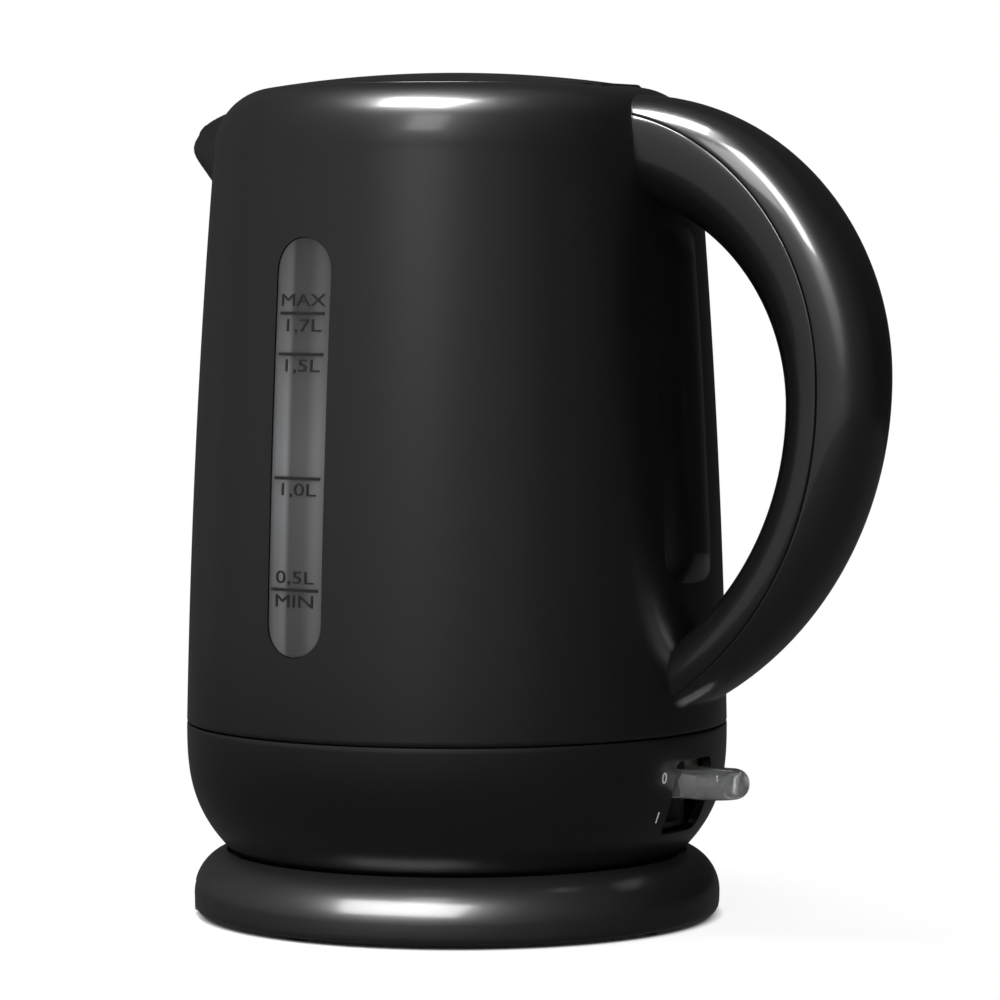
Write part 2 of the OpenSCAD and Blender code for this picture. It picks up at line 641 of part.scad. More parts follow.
// ---------------------------------------------------------------- heater
spreader_r = post_ring_r;
spreader_t = 2;
spreader_z0 = floor_z - floor_t - spreader_t;
element_z = spreader_z0 - element_tube_r;
element_gap_deg = 60;
element_r = post_ring_r - element_in;
module floor_seal() {
    seal_out = wall_r(seal_z1) - wall - 0.05;
    color("#8a8d90") difference() {
        ring(floor_r - 1.6, seal_out, seal_z0, seal_z1);
        disc(floor_r + 0.05, floor_z - floor_t - 0.05, floor_z + 0.05);
    }
}
module floor_plate() {
    color(steel) difference() {
        disc(floor_r, floor_z - floor_t, floor_z);
        translate([steam_x, steam_y, 0]) disc(steam_tube_r + 0.2, 0, 100);
    }
}
module heat_spreader() {
    color("#c9cbcd") disc(spreader_r, spreader_z0, floor_z - floor_t);
}
module heating_element() {
    color("#9a9590") translate([0, 0, element_z]) rotate([0, 0, element_gap_deg / 2])
        rotate_extrude(angle = 360 - element_gap_deg) translate([element_r, 0]) circle(element_tube_r, $fn = 48);
}
module element_terminals() {
    color(steel) for (s = [-1, 1]) rotate([0, 0, s * element_gap_deg / 2])
        translate([element_r, 0, element_z]) rod_y(1.6, s > 0 ? -10 : 0, s > 0 ? 0 : 10);
}
control_z0 = coupler_z1 + 0.6;
control_z1 = spreader_z0 - 1.2;
control_r = element_r - element_tube_r - 6.6;
control_foot_r = 23;
control_foot_h = 17;
pillar_y = 22;
pillar_r = 5;
bimetal_x = 12;
bimetal_r = 7;
module control_unit() {
    color("#e6e2d6") difference() {
        union() {
            disc(control_foot_r, control_z0, control_z0 + control_foot_h);
            disc(control_r, control_z0 + control_foot_h - 1, control_z1 - 2);
            for (s = [-1, 1]) translate([s * bimetal_x, 0, 0]) disc(bimetal_r + 1, control_z1 - 3, control_z1);
            for (s = [-1, 1]) translate([0, s * pillar_y, 0]) disc(pillar_r, control_z1 - 3, spreader_z0 - seat);
        }
        for (s = [-1, 1]) translate([0, s * pillar_y, 0]) {
            disc(1.8, 0, 100);
            disc(pillar_r - 1, 0, control_z0 + control_foot_h);
        }
    }
}
module bimetal_discs() {
    color(copper) for (s = [-1, 1]) translate([s * bimetal_x, 0, 0])
        disc(bimetal_r, control_z1 + 0.1, control_z1 + 0.6);
}
module control_screws() {
    color(steel) for (s = [-1, 1]) translate([0, s * pillar_y, 0])
        screw(1.6, 3.2, control_z0 + control_foot_h - 1.6, spreader_z0 - 0.1);
}
steam_box_z0 = 36;
steam_box_z1 = 50;
module steam_tube() {
    color("#d9d6cc") translate([steam_x, steam_y, 0])
        ring(steam_tube_r - 1, steam_tube_r, steam_box_z1 - 4, shoulder_zc - 2);
}
module tube_grommet() {
    color("#8a8d90") translate([steam_x, steam_y, 0])
        ring(steam_tube_r + 0.05, steam_tube_r + 2.5, floor_z + 0.05, floor_z + 3.5);
}
module steam_switch() {
    color("#e6e2d6") translate([steam_x, steam_y, 0]) difference() {
        translate([-8, -4.9, steam_box_z0]) cube([13, 13, steam_box_z1 - steam_box_z0]);
        disc(steam_tube_r + 0.1, steam_box_z1 - 4.1, 100);
        disc(2.6, steam_box_z1 - 6, 100);
        disc(4.6, steam_box_z0 + 1.5, steam_box_z1 - 6);
    }
    color("#e6e2d6") translate([steam_x - 5, steam_y + 1, 0]) disc(2.5, housing_floor + seat, steam_box_z0);
}
module steam_bimetal() {
    color(copper) translate([steam_x, steam_y, 0]) disc(4.5, steam_box_z0 + 1.55, steam_box_z0 + 2.1);
}

// ---------------------------------------------------------------- switch
switch_x = bowl_r(switch_z) - switch_in;
switch_reach = bowl_r(switch_z) + switch_out;
bracket_x0 = switch_x - 10;
bracket_x1 = switch_x + 1.5;
bracket_wall = 2.5;
bracket_z0 = slot_z0 + 0.5;
bracket_z1 = slot_z1 + 2;
module at_switch() { translate([switch_x, 0, switch_z]) children(); }
module switch_bracket() {
    color(dark) difference() {
        union() {
            block(bracket_x0, bracket_x1, bracket_w, bracket_z0, bracket_z1);
            for (s = [-1, 1]) translate([bracket_x0 + 1, s * 9, 0]) disc(3, housing_floor + seat, bracket_z0 + 1);
        }
        block(bracket_x0 + bracket_wall, bracket_x1 + 1, bracket_w - 2 * bracket_wall,
            bracket_z0 + 1.5, bracket_z1 - 1.5);
        at_switch() rod_y(switch_pin_r + 0.02, -40, 40);
        translate([bracket_x0, 0, switch_z + 4.4]) rod_x(1.9, -2, 5);
    }
}
module switch_pin() {
    color(steel) at_switch() rod_y(switch_pin_r, -bracket_w / 2, bracket_w / 2);
}
module indicator_lamp() {
    color("#e08030") translate([bracket_x0, 0, switch_z + 4.4]) rod_x(1.8, 0, 3.6);
}
lever_hub_r = 4.2;
lever_blade = switch_t / 2;
// Round of the lever's tip seen from above, a little wider than the lever, and the flat that it cuts
lever_tip_r = switch_w / 2 + 0.6;
lever_tip_flat = 0.2;
lever_tip_x = switch_reach - switch_x - lever_tip_r - lever_tip_flat;
module power_lever() {
    color(clear) at_switch() difference() {
        union() {
            rod_y(lever_hub_r, -switch_w / 2, switch_w / 2);
            intersection() {
                union() {
                    block(0, switch_reach - switch_x - lever_blade, switch_w,
                        -lever_blade * 0.8, lever_blade * 0.8);
                    translate([switch_reach - switch_x - lever_blade, 0, 0])
                        rod_y(lever_blade, -switch_w / 2, switch_w / 2);
                }
                union() {
                    block(-1, lever_tip_x, switch_w + 2, -2 * lever_blade, 2 * lever_blade);
                    translate([lever_tip_x, 0, -2 * lever_blade]) cylinder(r = lever_tip_r, h = 4 * lever_blade);
                }
            }
        }
        rod_y(switch_pin_r + run_gap, -40, 40);
    }
}

// ---------------------------------------------------------------- spout filter
module filter_frame() {
    color(dark) difference() {
        spout_sector(filter_r, filter_r + filter_t, filter_z0, filter_z1, filter_deg);
        spout_sector(filter_r - 1, filter_r + filter_t + 1, filter_z0 + 2.4, filter_z1 - 2.4, filter_deg - 5);
    }
    color(dark) for (i = [-1, 1]) spout_sector(filter_r + 1.6, filter_r + filter_t - 0.2, filter_z0 + 1,
        filter_z1 - 1, 1.6, 180 + i * filter_deg / 6);
}
module filter_mesh() {
    color(steel) spout_sector(filter_r + 1.1, filter_r + 1.4, filter_z0 + 2.5, filter_z1 - 2.5, filter_deg - 5.4);
}

// ---------------------------------------------------------------- lid
skirt_r = lid_r - 1;
skirt_t = 1.6;
lid_screw_ring = 36;
liner_z0 = ledge_z1 + body_gap;
liner_z1 = liner_z0 + 2;
slot_half = bolt_w / 2 + 0.5;
module lid_hinge_pin() {
    color(steel) at_hinge() rod_y(hinge_pin_r, -hinge_w / 2 - hinge_lug_w, hinge_w / 2 + hinge_lug_w);
}
// Solid under the lid's dome, down to z0, with its top sunk by off
module dome_solid(r, off, z0) {
    intersection() {
        disc(r, z0, total_h + 1);
        translate([0, 0, dome_zc]) sphere(r = dome_r - off, $fn = 400);
    }
}
module lid_dome() {
    color(black) difference() {
        union() {
            difference() {
                dome_solid(lid_r, 0, liner_z1 + 1);
                dome_solid(skirt_r - skirt_t, lid_wall, 0);
                ring(skirt_r, lid_r + 1, 0, dome_z(lid_r) - lid_wall);
            }
            at_hinge() {
                rod_y(hinge_barrel_r, -hinge_w / 2, hinge_w / 2);
                block(-4.5, 0, hinge_w, 0, 1.4);
            }
            around(3, lid_screw_ring, 90) disc(3.4, liner_z1 + seat, dome_z(lid_screw_ring) - 1);
        }
        at_hinge() rod_y(hinge_pin_r + run_gap, -40, 40);
        translate([button_x, 0, 0]) disc(button_r + 0.3, 200, 300);
        around(3, lid_screw_ring, 90) disc(1.25, 0, dome_z(lid_screw_ring) - 2.5);
        translate([-skirt_r - 1, -slot_half, 0]) cube([3, 2 * slot_half, bolt_z0 + bolt_h + 0.4]);
    }
}
module lid_liner() {
    color(dark) {
        difference() {
            disc(skirt_r - skirt_t - seat, liner_z0, liner_z1);
            around(3, lid_screw_ring, 90) disc(1.6, 0, 300);
            around(3, lid_screw_ring, 90) disc(3.1, 0, liner_z0 + 1.1);
        }
        for (s = [-1, 1]) translate([0, s * (bolt_w / 2 + 0.9), 0]) block(-40, 8, 1.2, liner_z1 - 0.1, bolt_z0 + 3);
        block(spring_x1, spring_x1 + 2, 8, liner_z1 - 0.1, bolt_z0 + 4);
    }
}
module lid_seal() {
    color("#8a8d90") ring(skirt_r - skirt_t, lid_r - 0.3, liner_z0 + 0.2, liner_z1 + 0.9);
}
module lid_screws() {
    color(steel) around(3, lid_screw_ring, 90) screw(1.2, 2.9, liner_z0 + 0.1, dome_z(lid_screw_ring) - 3, 0.9);
}
stem_w = 8;
stem_x0 = button_x - 5.5;
bolt_top = bolt_z0 + bolt_h;
// The stem's slope and the bolt's slope are both at 45 degrees
slope_gap = 0.3;
slope_h = button_travel + 0.1;
slope_x = button_x - 1.5;
stem_z0 = bolt_top + 0.4;
bolt_wide = 13.8;
bolt_x1 = button_x + 6;
spring_x0 = bolt_x1 + seat;
spring_x1 = bolt_x1 + 9;
flange_z0 = dome_z(button_x) - lid_wall - 3.2;
flange_t = 1.2;
flange_r = button_r + 2.6;
cap_under = bolt_top + slope_h + button_travel + slope_gap;
// Side view of a slope block, from its low side at x0 to z1
module slope_block(pts) {
    translate([0, stem_w / 2, 0]) rotate([90, 0, 0]) linear_extrude(stem_w) polygon(pts);
}
module lid_button() {
    color(black) {
        difference() {
            union() {
                intersection() {
                    translate([button_x, 0, 0]) disc(button_r, flange_z0, total_h);
                    translate([0, 0, dome_zc]) sphere(r = dome_r, $fn = 400);
                }
                translate([button_x, 0, 0]) disc(flange_r, flange_z0, flange_z0 + flange_t);
            }
            block(button_x - 20, button_x + 20, stem_w + 1.2, flange_z0 - 1, cap_under);
        }
        slope_block([[stem_x0, stem_z0], [slope_x + stem_z0 - bolt_top - slope_gap, stem_z0],
            [slope_x + cap_under + 0.1 - bolt_top - slope_gap, cap_under + 0.1], [stem_x0, cap_under + 0.1]]);
    }
}
module latch_bolt() {
    color(steel) difference() {
        union() {
            block(-collar_r - 2, stem_x0, bolt_w, bolt_z0, bolt_top);
            block(stem_x0 - 6, bolt_x1, bolt_wide, bolt_z0, bolt_top);
            slope_block([[slope_x, bolt_top - 0.05], [slope_x + slope_h, bolt_top + slope_h],
                [bolt_x1, bolt_top + slope_h], [bolt_x1, bolt_top - 0.05]]);
        }
        block(stem_x0 - button_travel - 0.4, slope_x, stem_w + 0.8, bolt_z0 - 1, bolt_top + 1);
    }
}
// A coil spring along Z with its lower end at the origin
module coil(r, wire, h, turns) {
    steps = turns * 12;
    skin([for (i = [0:steps]) let(a = 360 * i / 12, z = wire + (h - 2 * wire) * i / steps)
        [for (j = [0:5]) let(b = -60 * j) [(r + wire * cos(b)) * cos(a), (r + wire * cos(b)) * sin(a), z + wire * sin(b)]]]);
}
module button_springs() {
    color(steel) for (s = [-1, 1]) translate([button_x, s * (bolt_wide / 2 + 2.2), liner_z1 + 0.02])
        coil(1.5, 0.3, flange_z0 - liner_z1 - 0.04, 5);
}
module latch_spring() {
    color(steel) translate([spring_x0, 0, bolt_z0 + bolt_h / 2]) rotate([0, 90, 0])
        coil(1.5, 0.3, spring_x1 - spring_x0 - 0.1, 6);
}
module snap_tongue() {
    color(dark) translate([-collar_r - collar_wall, -notch_w / 2 + 0.2, bolt_top + 0.4])
        cube([collar_wall - 0.1, notch_w - 0.4, dome_z(collar_r + 1) - bolt_top - 0.5]);
}

base_cover();
base_plate();
base_feet();
base_screws();
socket_housing();
socket_contacts();
cord_gland();
cord_clamp();
coupler_housing();
coupler_pins();
body_shell();
gauge_window();
gauge_marks();
spine_cover();
handle_outer();
handle_inner();
handle_ribs();
lower_housing();
housing_screws();
clamp_ring();
floor_seal();
floor_plate();
heat_spreader();
heating_element();
element_terminals();
control_unit();
bimetal_discs();
control_screws();
steam_tube();
tube_grommet();
steam_switch();
steam_bimetal();
switch_bracket();
switch_pin();
indicator_lamp();
power_lever();
filter_frame();
filter_mesh();
lid_hinge_pin();
snap_tongue();
lid_dome();
lid_liner();
lid_seal();
lid_screws();
lid_button();
button_springs();
latch_bolt();
latch_spring();
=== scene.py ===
"""Cordless jug kettle: finished pieces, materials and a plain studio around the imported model."""
import json
import math

import bmesh
import bpy
from mathutils import Matrix, Vector, interpolate
from mathutils.bvhtree import BVHTree

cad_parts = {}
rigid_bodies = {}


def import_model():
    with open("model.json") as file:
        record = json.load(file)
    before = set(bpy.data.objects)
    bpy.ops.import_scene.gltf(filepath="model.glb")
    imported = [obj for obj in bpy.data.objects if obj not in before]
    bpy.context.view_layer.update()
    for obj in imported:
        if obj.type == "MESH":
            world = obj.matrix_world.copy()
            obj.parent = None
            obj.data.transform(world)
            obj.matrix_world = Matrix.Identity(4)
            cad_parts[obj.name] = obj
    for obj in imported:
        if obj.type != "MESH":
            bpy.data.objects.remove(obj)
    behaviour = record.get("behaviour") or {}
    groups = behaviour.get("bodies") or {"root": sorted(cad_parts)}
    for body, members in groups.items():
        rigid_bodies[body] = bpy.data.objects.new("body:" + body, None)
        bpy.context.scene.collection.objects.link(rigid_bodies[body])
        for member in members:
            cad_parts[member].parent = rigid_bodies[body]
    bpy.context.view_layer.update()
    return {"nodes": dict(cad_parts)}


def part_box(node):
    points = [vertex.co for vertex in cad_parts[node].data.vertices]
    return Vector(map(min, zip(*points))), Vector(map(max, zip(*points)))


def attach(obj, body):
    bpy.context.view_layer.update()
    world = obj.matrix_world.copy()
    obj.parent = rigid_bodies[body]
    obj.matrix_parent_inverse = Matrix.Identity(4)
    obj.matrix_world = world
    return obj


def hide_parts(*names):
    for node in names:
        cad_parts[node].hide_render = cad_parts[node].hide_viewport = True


bl_info = {
    "name": "Jug Kettle",
    "version": (1, 0, 0),
    "blender": (4, 5, 0),
    "location": "View3D > Sidebar > Kettle",
    "description": "Builds the finished pieces of a cordless jug kettle and the studio round it",
    "category": "Object",
}

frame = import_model()
NODES = frame["nodes"]
MM = 0.001


def node_mm(name, axis, high):
    """One side of a CAD node's box, in millimetres."""
    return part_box(name)[1 if high else 0][axis] / MM


# ------------------------------------------------------------------ sizes and colours
def length(name, words, value):
    return bpy.props.FloatProperty(name=name, description=words, default=value, subtype="DISTANCE_CAMERA")


def colour(name, words, value):
    return bpy.props.FloatVectorProperty(name=name, description=words, default=value, size=3,
                                         subtype="COLOR", min=0, max=1)


class KETTLE_PG_sizes(bpy.types.PropertyGroup):
    """Sizes of the kettle in millimetres"""
    total_h: length("Height", "Top of the lid above the table", node_mm("lid_dome", 2, True))
    seam_z: length("Seam height", "Seam between body and lower housing", 54.7)
    seam_r: length("Seam radius", "Widest radius of the jug", 76.0)
    top_r: length("Top radius", "Radius where the wall turns into the shoulder", 67.8)
    wall_bow: length("Bow", "How far the wall bows out", 1.25)
    shoulder: length("Shoulder", "Radius of the rounded shoulder", 17.5)
    dome_r: length("Dome", "Radius of the sphere that the lid top is part of", 325.0)
    wall: length("Wall", "Thickness of the moulded walls", 2.6)
    lid_r: length("Lid radius", "Radius of the lid", 49.6)
    spout_reach: length("Spout reach", "Distance of the spout's tip from the axis",
                        -node_mm("body_shell", 0, False))
    gauge_w: length("Gauge width", "Width of the water gauge", 18.0)
    gauge_z0: length("Gauge foot", "Height of the gauge's lower end", 77.3)
    gauge_z1: length("Gauge top", "Height of the gauge's upper end", 190.3)
    base_r: length("Base radius", "Largest radius of the base", 74.1)


class KETTLE_PG_colours(bpy.types.PropertyGroup):
    """Colours of the kettle"""
    shell: colour("Shell", "Polished black moulding", (0.0028, 0.0029, 0.0031))
    matt: colour("Matt", "Fine matt moulding", (0.018, 0.018, 0.019))
    rubber: colour("Rubber", "Feet", (0.012, 0.012, 0.012))
    window: colour("Window", "Smoked gauge window", (0.085, 0.088, 0.092))
    ink: colour("Ink", "Printed marks on the gauge", (0.004, 0.004, 0.005))
    label: colour("Switch marks", "Printed marks beside the switch", (0.42, 0.42, 0.43))
    steel: colour("Steel", "Bright steel", (0.56, 0.57, 0.58))
    copper: colour("Copper", "Plated contacts", (0.62, 0.38, 0.2))
    silicone: colour("Silicone", "Seals", (0.42, 0.43, 0.44))
    ivory: colour("Ivory", "Heat-proof mouldings", (0.74, 0.7, 0.6))
    lamp: colour("Lamp", "Indicator lamp", (0.75, 0.22, 0.05))
    floor: colour("Floor", "Pale studio floor", (0.86, 0.86, 0.86))


SIZES = None
COLOURS = None


# ------------------------------------------------------------------ the jug's own curves
def part_of_wall(z):
    return (z - SIZES.seam_z) / (shoulder_z() - SIZES.seam_z)


def wall_r(z):
    t = part_of_wall(z)
    return SIZES.seam_r + (SIZES.top_r - SIZES.seam_r) * t + 4 * SIZES.wall_bow * t * (1 - t)


def dome_centre():
    return SIZES.total_h - SIZES.dome_r


def dome_z(r):
    return dome_centre() + math.sqrt(SIZES.dome_r ** 2 - r * r)


def shoulder_rc():
    return SIZES.top_r - SIZES.shoulder


def shoulder_z():
    return dome_centre() + math.sqrt((SIZES.dome_r - SIZES.shoulder) ** 2 - shoulder_rc() ** 2)


def shoulder_end():
    return math.radians(90) - math.asin(shoulder_rc() / (SIZES.dome_r - SIZES.shoulder))


BOWL_Z, BOWL_DRAW, FOOT_Z = 17.0, 14.0, 15.8


def bowl_r(z):
    return SIZES.seam_r - BOWL_DRAW * ((SIZES.seam_z - z) / (SIZES.seam_z - BOWL_Z)) ** 3


def body_r(z):
    if z < SIZES.seam_z:
        return bowl_r(z)
    if z < shoulder_z():
        return wall_r(z)
    rise = min(z - shoulder_z(), SIZES.shoulder)
    return shoulder_rc() + math.sqrt(SIZES.shoulder ** 2 - rise ** 2)


def steps(a, b, n):
    """n + 1 evenly spaced values from a to b."""
    return [a + (b - a) * i / n for i in range(n + 1)]


def arc(cx, cz, rx, rz, a0, a1, n):
    """Points of an elliptic arc in the (radius, height) plane, angles in degrees."""
    return [(cx + rx * math.cos(math.radians(a)), cz + rz * math.sin(math.radians(a)))
            for a in steps(a0, a1, n)]


def fade(t):
    t = min(1.0, max(0.0, t))
    return t * t * (3 - 2 * t)


# ------------------------------------------------------------------ mesh helpers
def turned(pts, count=224, start=0.0, sweep=360.0):
    """A closed outline in the (radius, height) plane, spun round Z."""
    bm = bmesh.new()
    a = math.radians(start)
    verts = [bm.verts.new((r * math.cos(a), r * math.sin(a), z)) for r, z in pts]
    edges = [bm.edges.new((verts[i], verts[(i + 1) % len(verts)])) for i in range(len(verts))]
    full = sweep >= 360
    bmesh.ops.spin(bm, geom=verts + edges, cent=(0, 0, 0), axis=(0, 0, 1), dvec=(0, 0, 0),
                   angle=math.radians(sweep), steps=count, use_merge=full, use_duplicate=False)
    bmesh.ops.remove_doubles(bm, verts=bm.verts, dist=1e-4)
    if not full:
        open_edges = [e for e in bm.edges if e.is_boundary]
        bmesh.ops.holes_fill(bm, edges=open_edges, sides=0)
    bmesh.ops.recalc_face_normals(bm, faces=bm.faces)
    return bm


def prism(points, direction):
    """A flat outline, given as 3D points, pushed out along direction."""
    bm = bmesh.new()
    face = bm.faces.new([bm.verts.new(p) for p in points])
    moved = bmesh.ops.extrude_face_region(bm, geom=[face])
    bmesh.ops.translate(bm, vec=direction, verts=[v for v in moved["geom"] if isinstance(v, bmesh.types.BMVert)])
    bmesh.ops.recalc_face_normals(bm, faces=bm.faces)
    return bm


def rod(radius, start, end, segments=48):
    """A cylinder from one point to another."""
    start, end = Vector(start), Vector(end)
    bm = bmesh.new()
    bmesh.ops.create_cone(bm, cap_ends=True, segments=segments, radius1=radius, radius2=radius,
                          depth=(end - start).length)
    turn = (end - start).to_track_quat("Z", "Y").to_matrix()
    bmesh.ops.rotate(bm, cent=(0, 0, 0), matrix=turn, verts=bm.verts)
    bmesh.ops.translate(bm, vec=(start + end) / 2, verts=bm.verts)
    return bm


def box(low, high):
    bm = bmesh.new()
    bmesh.ops.create_cube(bm, size=1)
    low, high = Vector(low), Vector(high)
    bmesh.ops.scale(bm, vec=high - low, verts=bm.verts)
    bmesh.ops.translate(bm, vec=(low + high) / 2, verts=bm.verts)
    return bm


def turn_z(bm, deg):
    bmesh.ops.rotate(bm, cent=(0, 0, 0), matrix=Matrix.Rotation(math.radians(deg), 3, "Z"), verts=bm.verts)
    return bm


def shaped(bm, *tools):
    """Cuts, joins or trims bm with other shapes: each tool is (operation, bmesh)."""
    def loose(source, name):
        mesh = bpy.data.meshes.new(name)
        source.to_mesh(mesh)
        source.free()
        obj = bpy.data.objects.new(name, mesh)
        bpy.context.scene.collection.objects.link(obj)
        return obj

    main = loose(bm, "shape")
    others = []
    for operation, tool in tools:
        other = loose(tool, "tool")
        others.append(other)
        change = main.modifiers.new("change", "BOOLEAN")
        change.operation, change.solver, change.object = operation, "EXACT", other
    bpy.context.view_layer.update()
    made = bpy.data.meshes.new_from_object(main.evaluated_get(bpy.context.evaluated_depsgraph_get()))
    result = bmesh.new()
    result.from_mesh(made)
    for obj in [main] + others:
        mesh = obj.data
        bpy.data.objects.remove(obj)
        bpy.data.meshes.remove(mesh)
    bpy.data.meshes.remove(made)
    if len(result.faces) < 4:
        raise RuntimeError("a shape was cut away whole")
    bmesh.ops.remove_doubles(result, verts=result.verts, dist=1e-4)
    return result


def follow_form(mesh, form, reach=0.02, turn=25.0):
    """Gives the faces that lie on form the form's own smooth normals."""
    form.normal_update()
    tree = BVHTree.FromBMesh(form)
    form.faces.ensure_lookup_table()
    limit = math.cos(math.radians(turn))
    smooth = [c.vector.copy() for c in mesh.corner_normals]
    for poly in mesh.polygons:
        middle = Vector(poly.center)
        hit, normal, index, far = tree.find_nearest(middle, 1.0)
        if hit is None or far > 0.3 or normal.dot(poly.normal) < limit:
            continue
        for loop in poly.loop_indices:
            point = mesh.vertices[mesh.loops[loop].vertex_index].co
            hit, normal, index, far = tree.find_nearest(point, 1.0)
            if hit is None or far > reach:
                continue
            face = form.faces[index]
            weights = interpolate.poly_3d_calc([v.co for v in face.verts], hit)
            mixed = Vector((0, 0, 0))
            for vert, weight in zip(face.verts, weights):
                mixed += vert.normal * weight
            if mixed.length > 0.5 and mixed.normalized().dot(poly.normal) > limit:
                smooth[loop] = mixed.normalized()
    mesh.normals_split_custom_set(smooth)


def piece(name, bm, body, paint, stands_for=(), sharp=35.0, form=None):
    """Finishes a bmesh in millimetres as an object that moves with body."""
    bmesh.ops.dissolve_degenerate(bm, dist=1e-5, edges=bm.edges)
    mesh = bpy.data.meshes.new(name)
    bm.to_mesh(mesh)
    bm.free()
    mesh.shade_smooth()
    mesh.set_sharp_from_angle(angle=math.radians(sharp))
    if form is not None:
        follow_form(mesh, form)
        form.free()
    obj = bpy.data.objects.new(name, mesh)
    bpy.context.scene.collection.objects.link(obj)
    mesh.transform(Matrix.Scale(MM, 4))
    mesh.materials.append(paint)
    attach(obj, body)
    if stands_for:
        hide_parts(*stands_for)
    return obj


# ------------------------------------------------------------------ materials
def node(tree, kind, **values):
    made = tree.nodes.new(kind)
    for key, value in values.items():
        setattr(made, key, value)
    return made


def link(tree, a, b):
    tree.links.new(a, b)


def moulding_group():
    """Fine waviness, pores and handling marks of a moulded surface."""
    tree = bpy.data.node_groups.new("Moulded Surface", "ShaderNodeTree")
    face = tree.interface
    for name, kind, default in (("Colour", "NodeSocketColor", (0.01, 0.01, 0.01, 1)),
                                ("Grain Size", "NodeSocketFloat", 900.0), ("Grain", "NodeSocketFloat", 0.03),
                                ("Roughness", "NodeSocketFloat", 0.3), ("Wear", "NodeSocketFloat", 0.05),
                                ("Variation", "NodeSocketFloat", 0.1)):
        socket = face.new_socket(name=name, in_out="INPUT", socket_type=kind)
        socket.default_value = default
    face.new_socket(name="Colour", in_out="OUTPUT", socket_type="NodeSocketColor")
    face.new_socket(name="Roughness", in_out="OUTPUT", socket_type="NodeSocketFloat")
    face.new_socket(name="Normal", in_out="OUTPUT", socket_type="NodeSocketVector")
    given = node(tree, "NodeGroupInput")
    out = node(tree, "NodeGroupOutput")
    coord = node(tree, "ShaderNodeTexCoord")
    grain = node(tree, "ShaderNodeTexNoise")
    grain.inputs["Detail"].default_value = 2
    link(tree, coord.outputs["Object"], grain.inputs["Vector"])
    link(tree, given.outputs["Grain Size"], grain.inputs["Scale"])
    patches = node(tree, "ShaderNodeTexNoise")
    patches.inputs["Scale"].default_value = 28
    patches.inputs["Detail"].default_value = 4
    patches.inputs["Roughness"].default_value = 0.6
    link(tree, coord.outputs["Object"], patches.inputs["Vector"])
    centred = node(tree, "ShaderNodeMath", operation="SUBTRACT")
    centred.inputs[1].default_value = 0.5
    link(tree, patches.outputs["Fac"], centred.inputs[0])
    wear = node(tree, "ShaderNodeMath", operation="MULTIPLY_ADD")
    link(tree, centred.outputs[0], wear.inputs[0])
    link(tree, given.outputs["Wear"], wear.inputs[1])
    link(tree, given.outputs["Roughness"], wear.inputs[2])
    link(tree, wear.outputs[0], out.inputs["Roughness"])
    shade = node(tree, "ShaderNodeMath", operation="MULTIPLY_ADD")
    link(tree, centred.outputs[0], shade.inputs[0])
    link(tree, given.outputs["Variation"], shade.inputs[1])
    shade.inputs[2].default_value = 1.0
    tint = node(tree, "ShaderNodeVectorMath", operation="SCALE")
    link(tree, given.outputs["Colour"], tint.inputs[0])
    link(tree, shade.outputs[0], tint.inputs["Scale"])
    link(tree, tint.outputs[0], out.inputs["Colour"])
    bump = node(tree, "ShaderNodeBump")
    bump.inputs["Distance"].default_value = 0.0001
    link(tree, given.outputs["Grain"], bump.inputs["Strength"])
    link(tree, grain.outputs["Fac"], bump.inputs["Height"])
    link(tree, bump.outputs[0], out.inputs["Normal"])
    return tree


def finish_of(name, tint, rough, grain=0.03, size=900.0, wear=0.05, variation=0.1, **values):
    """A Principled material fed by the moulded surface group."""
    group = bpy.data.node_groups.get("Moulded Surface") or moulding_group()
    mat = bpy.data.materials.new(name)
    mat.use_nodes = True
    tree = mat.node_tree
    shader = tree.nodes["Principled BSDF"]
    surface = node(tree, "ShaderNodeGroup", node_tree=group)
    for key, value in (("Colour", (*tint, 1)), ("Grain Size", size), ("Grain", grain), ("Roughness", rough),
                       ("Wear", wear), ("Variation", variation)):
        surface.inputs[key].default_value = value
    link(tree, surface.outputs["Colour"], shader.inputs["Base Color"])
    link(tree, surface.outputs["Roughness"], shader.inputs["Roughness"])
    link(tree, surface.outputs["Normal"], shader.inputs["Normal"])
    for key, value in values.items():
        shader.inputs[key.replace("_", " ")].default_value = value
    return mat


MATERIALS = {}


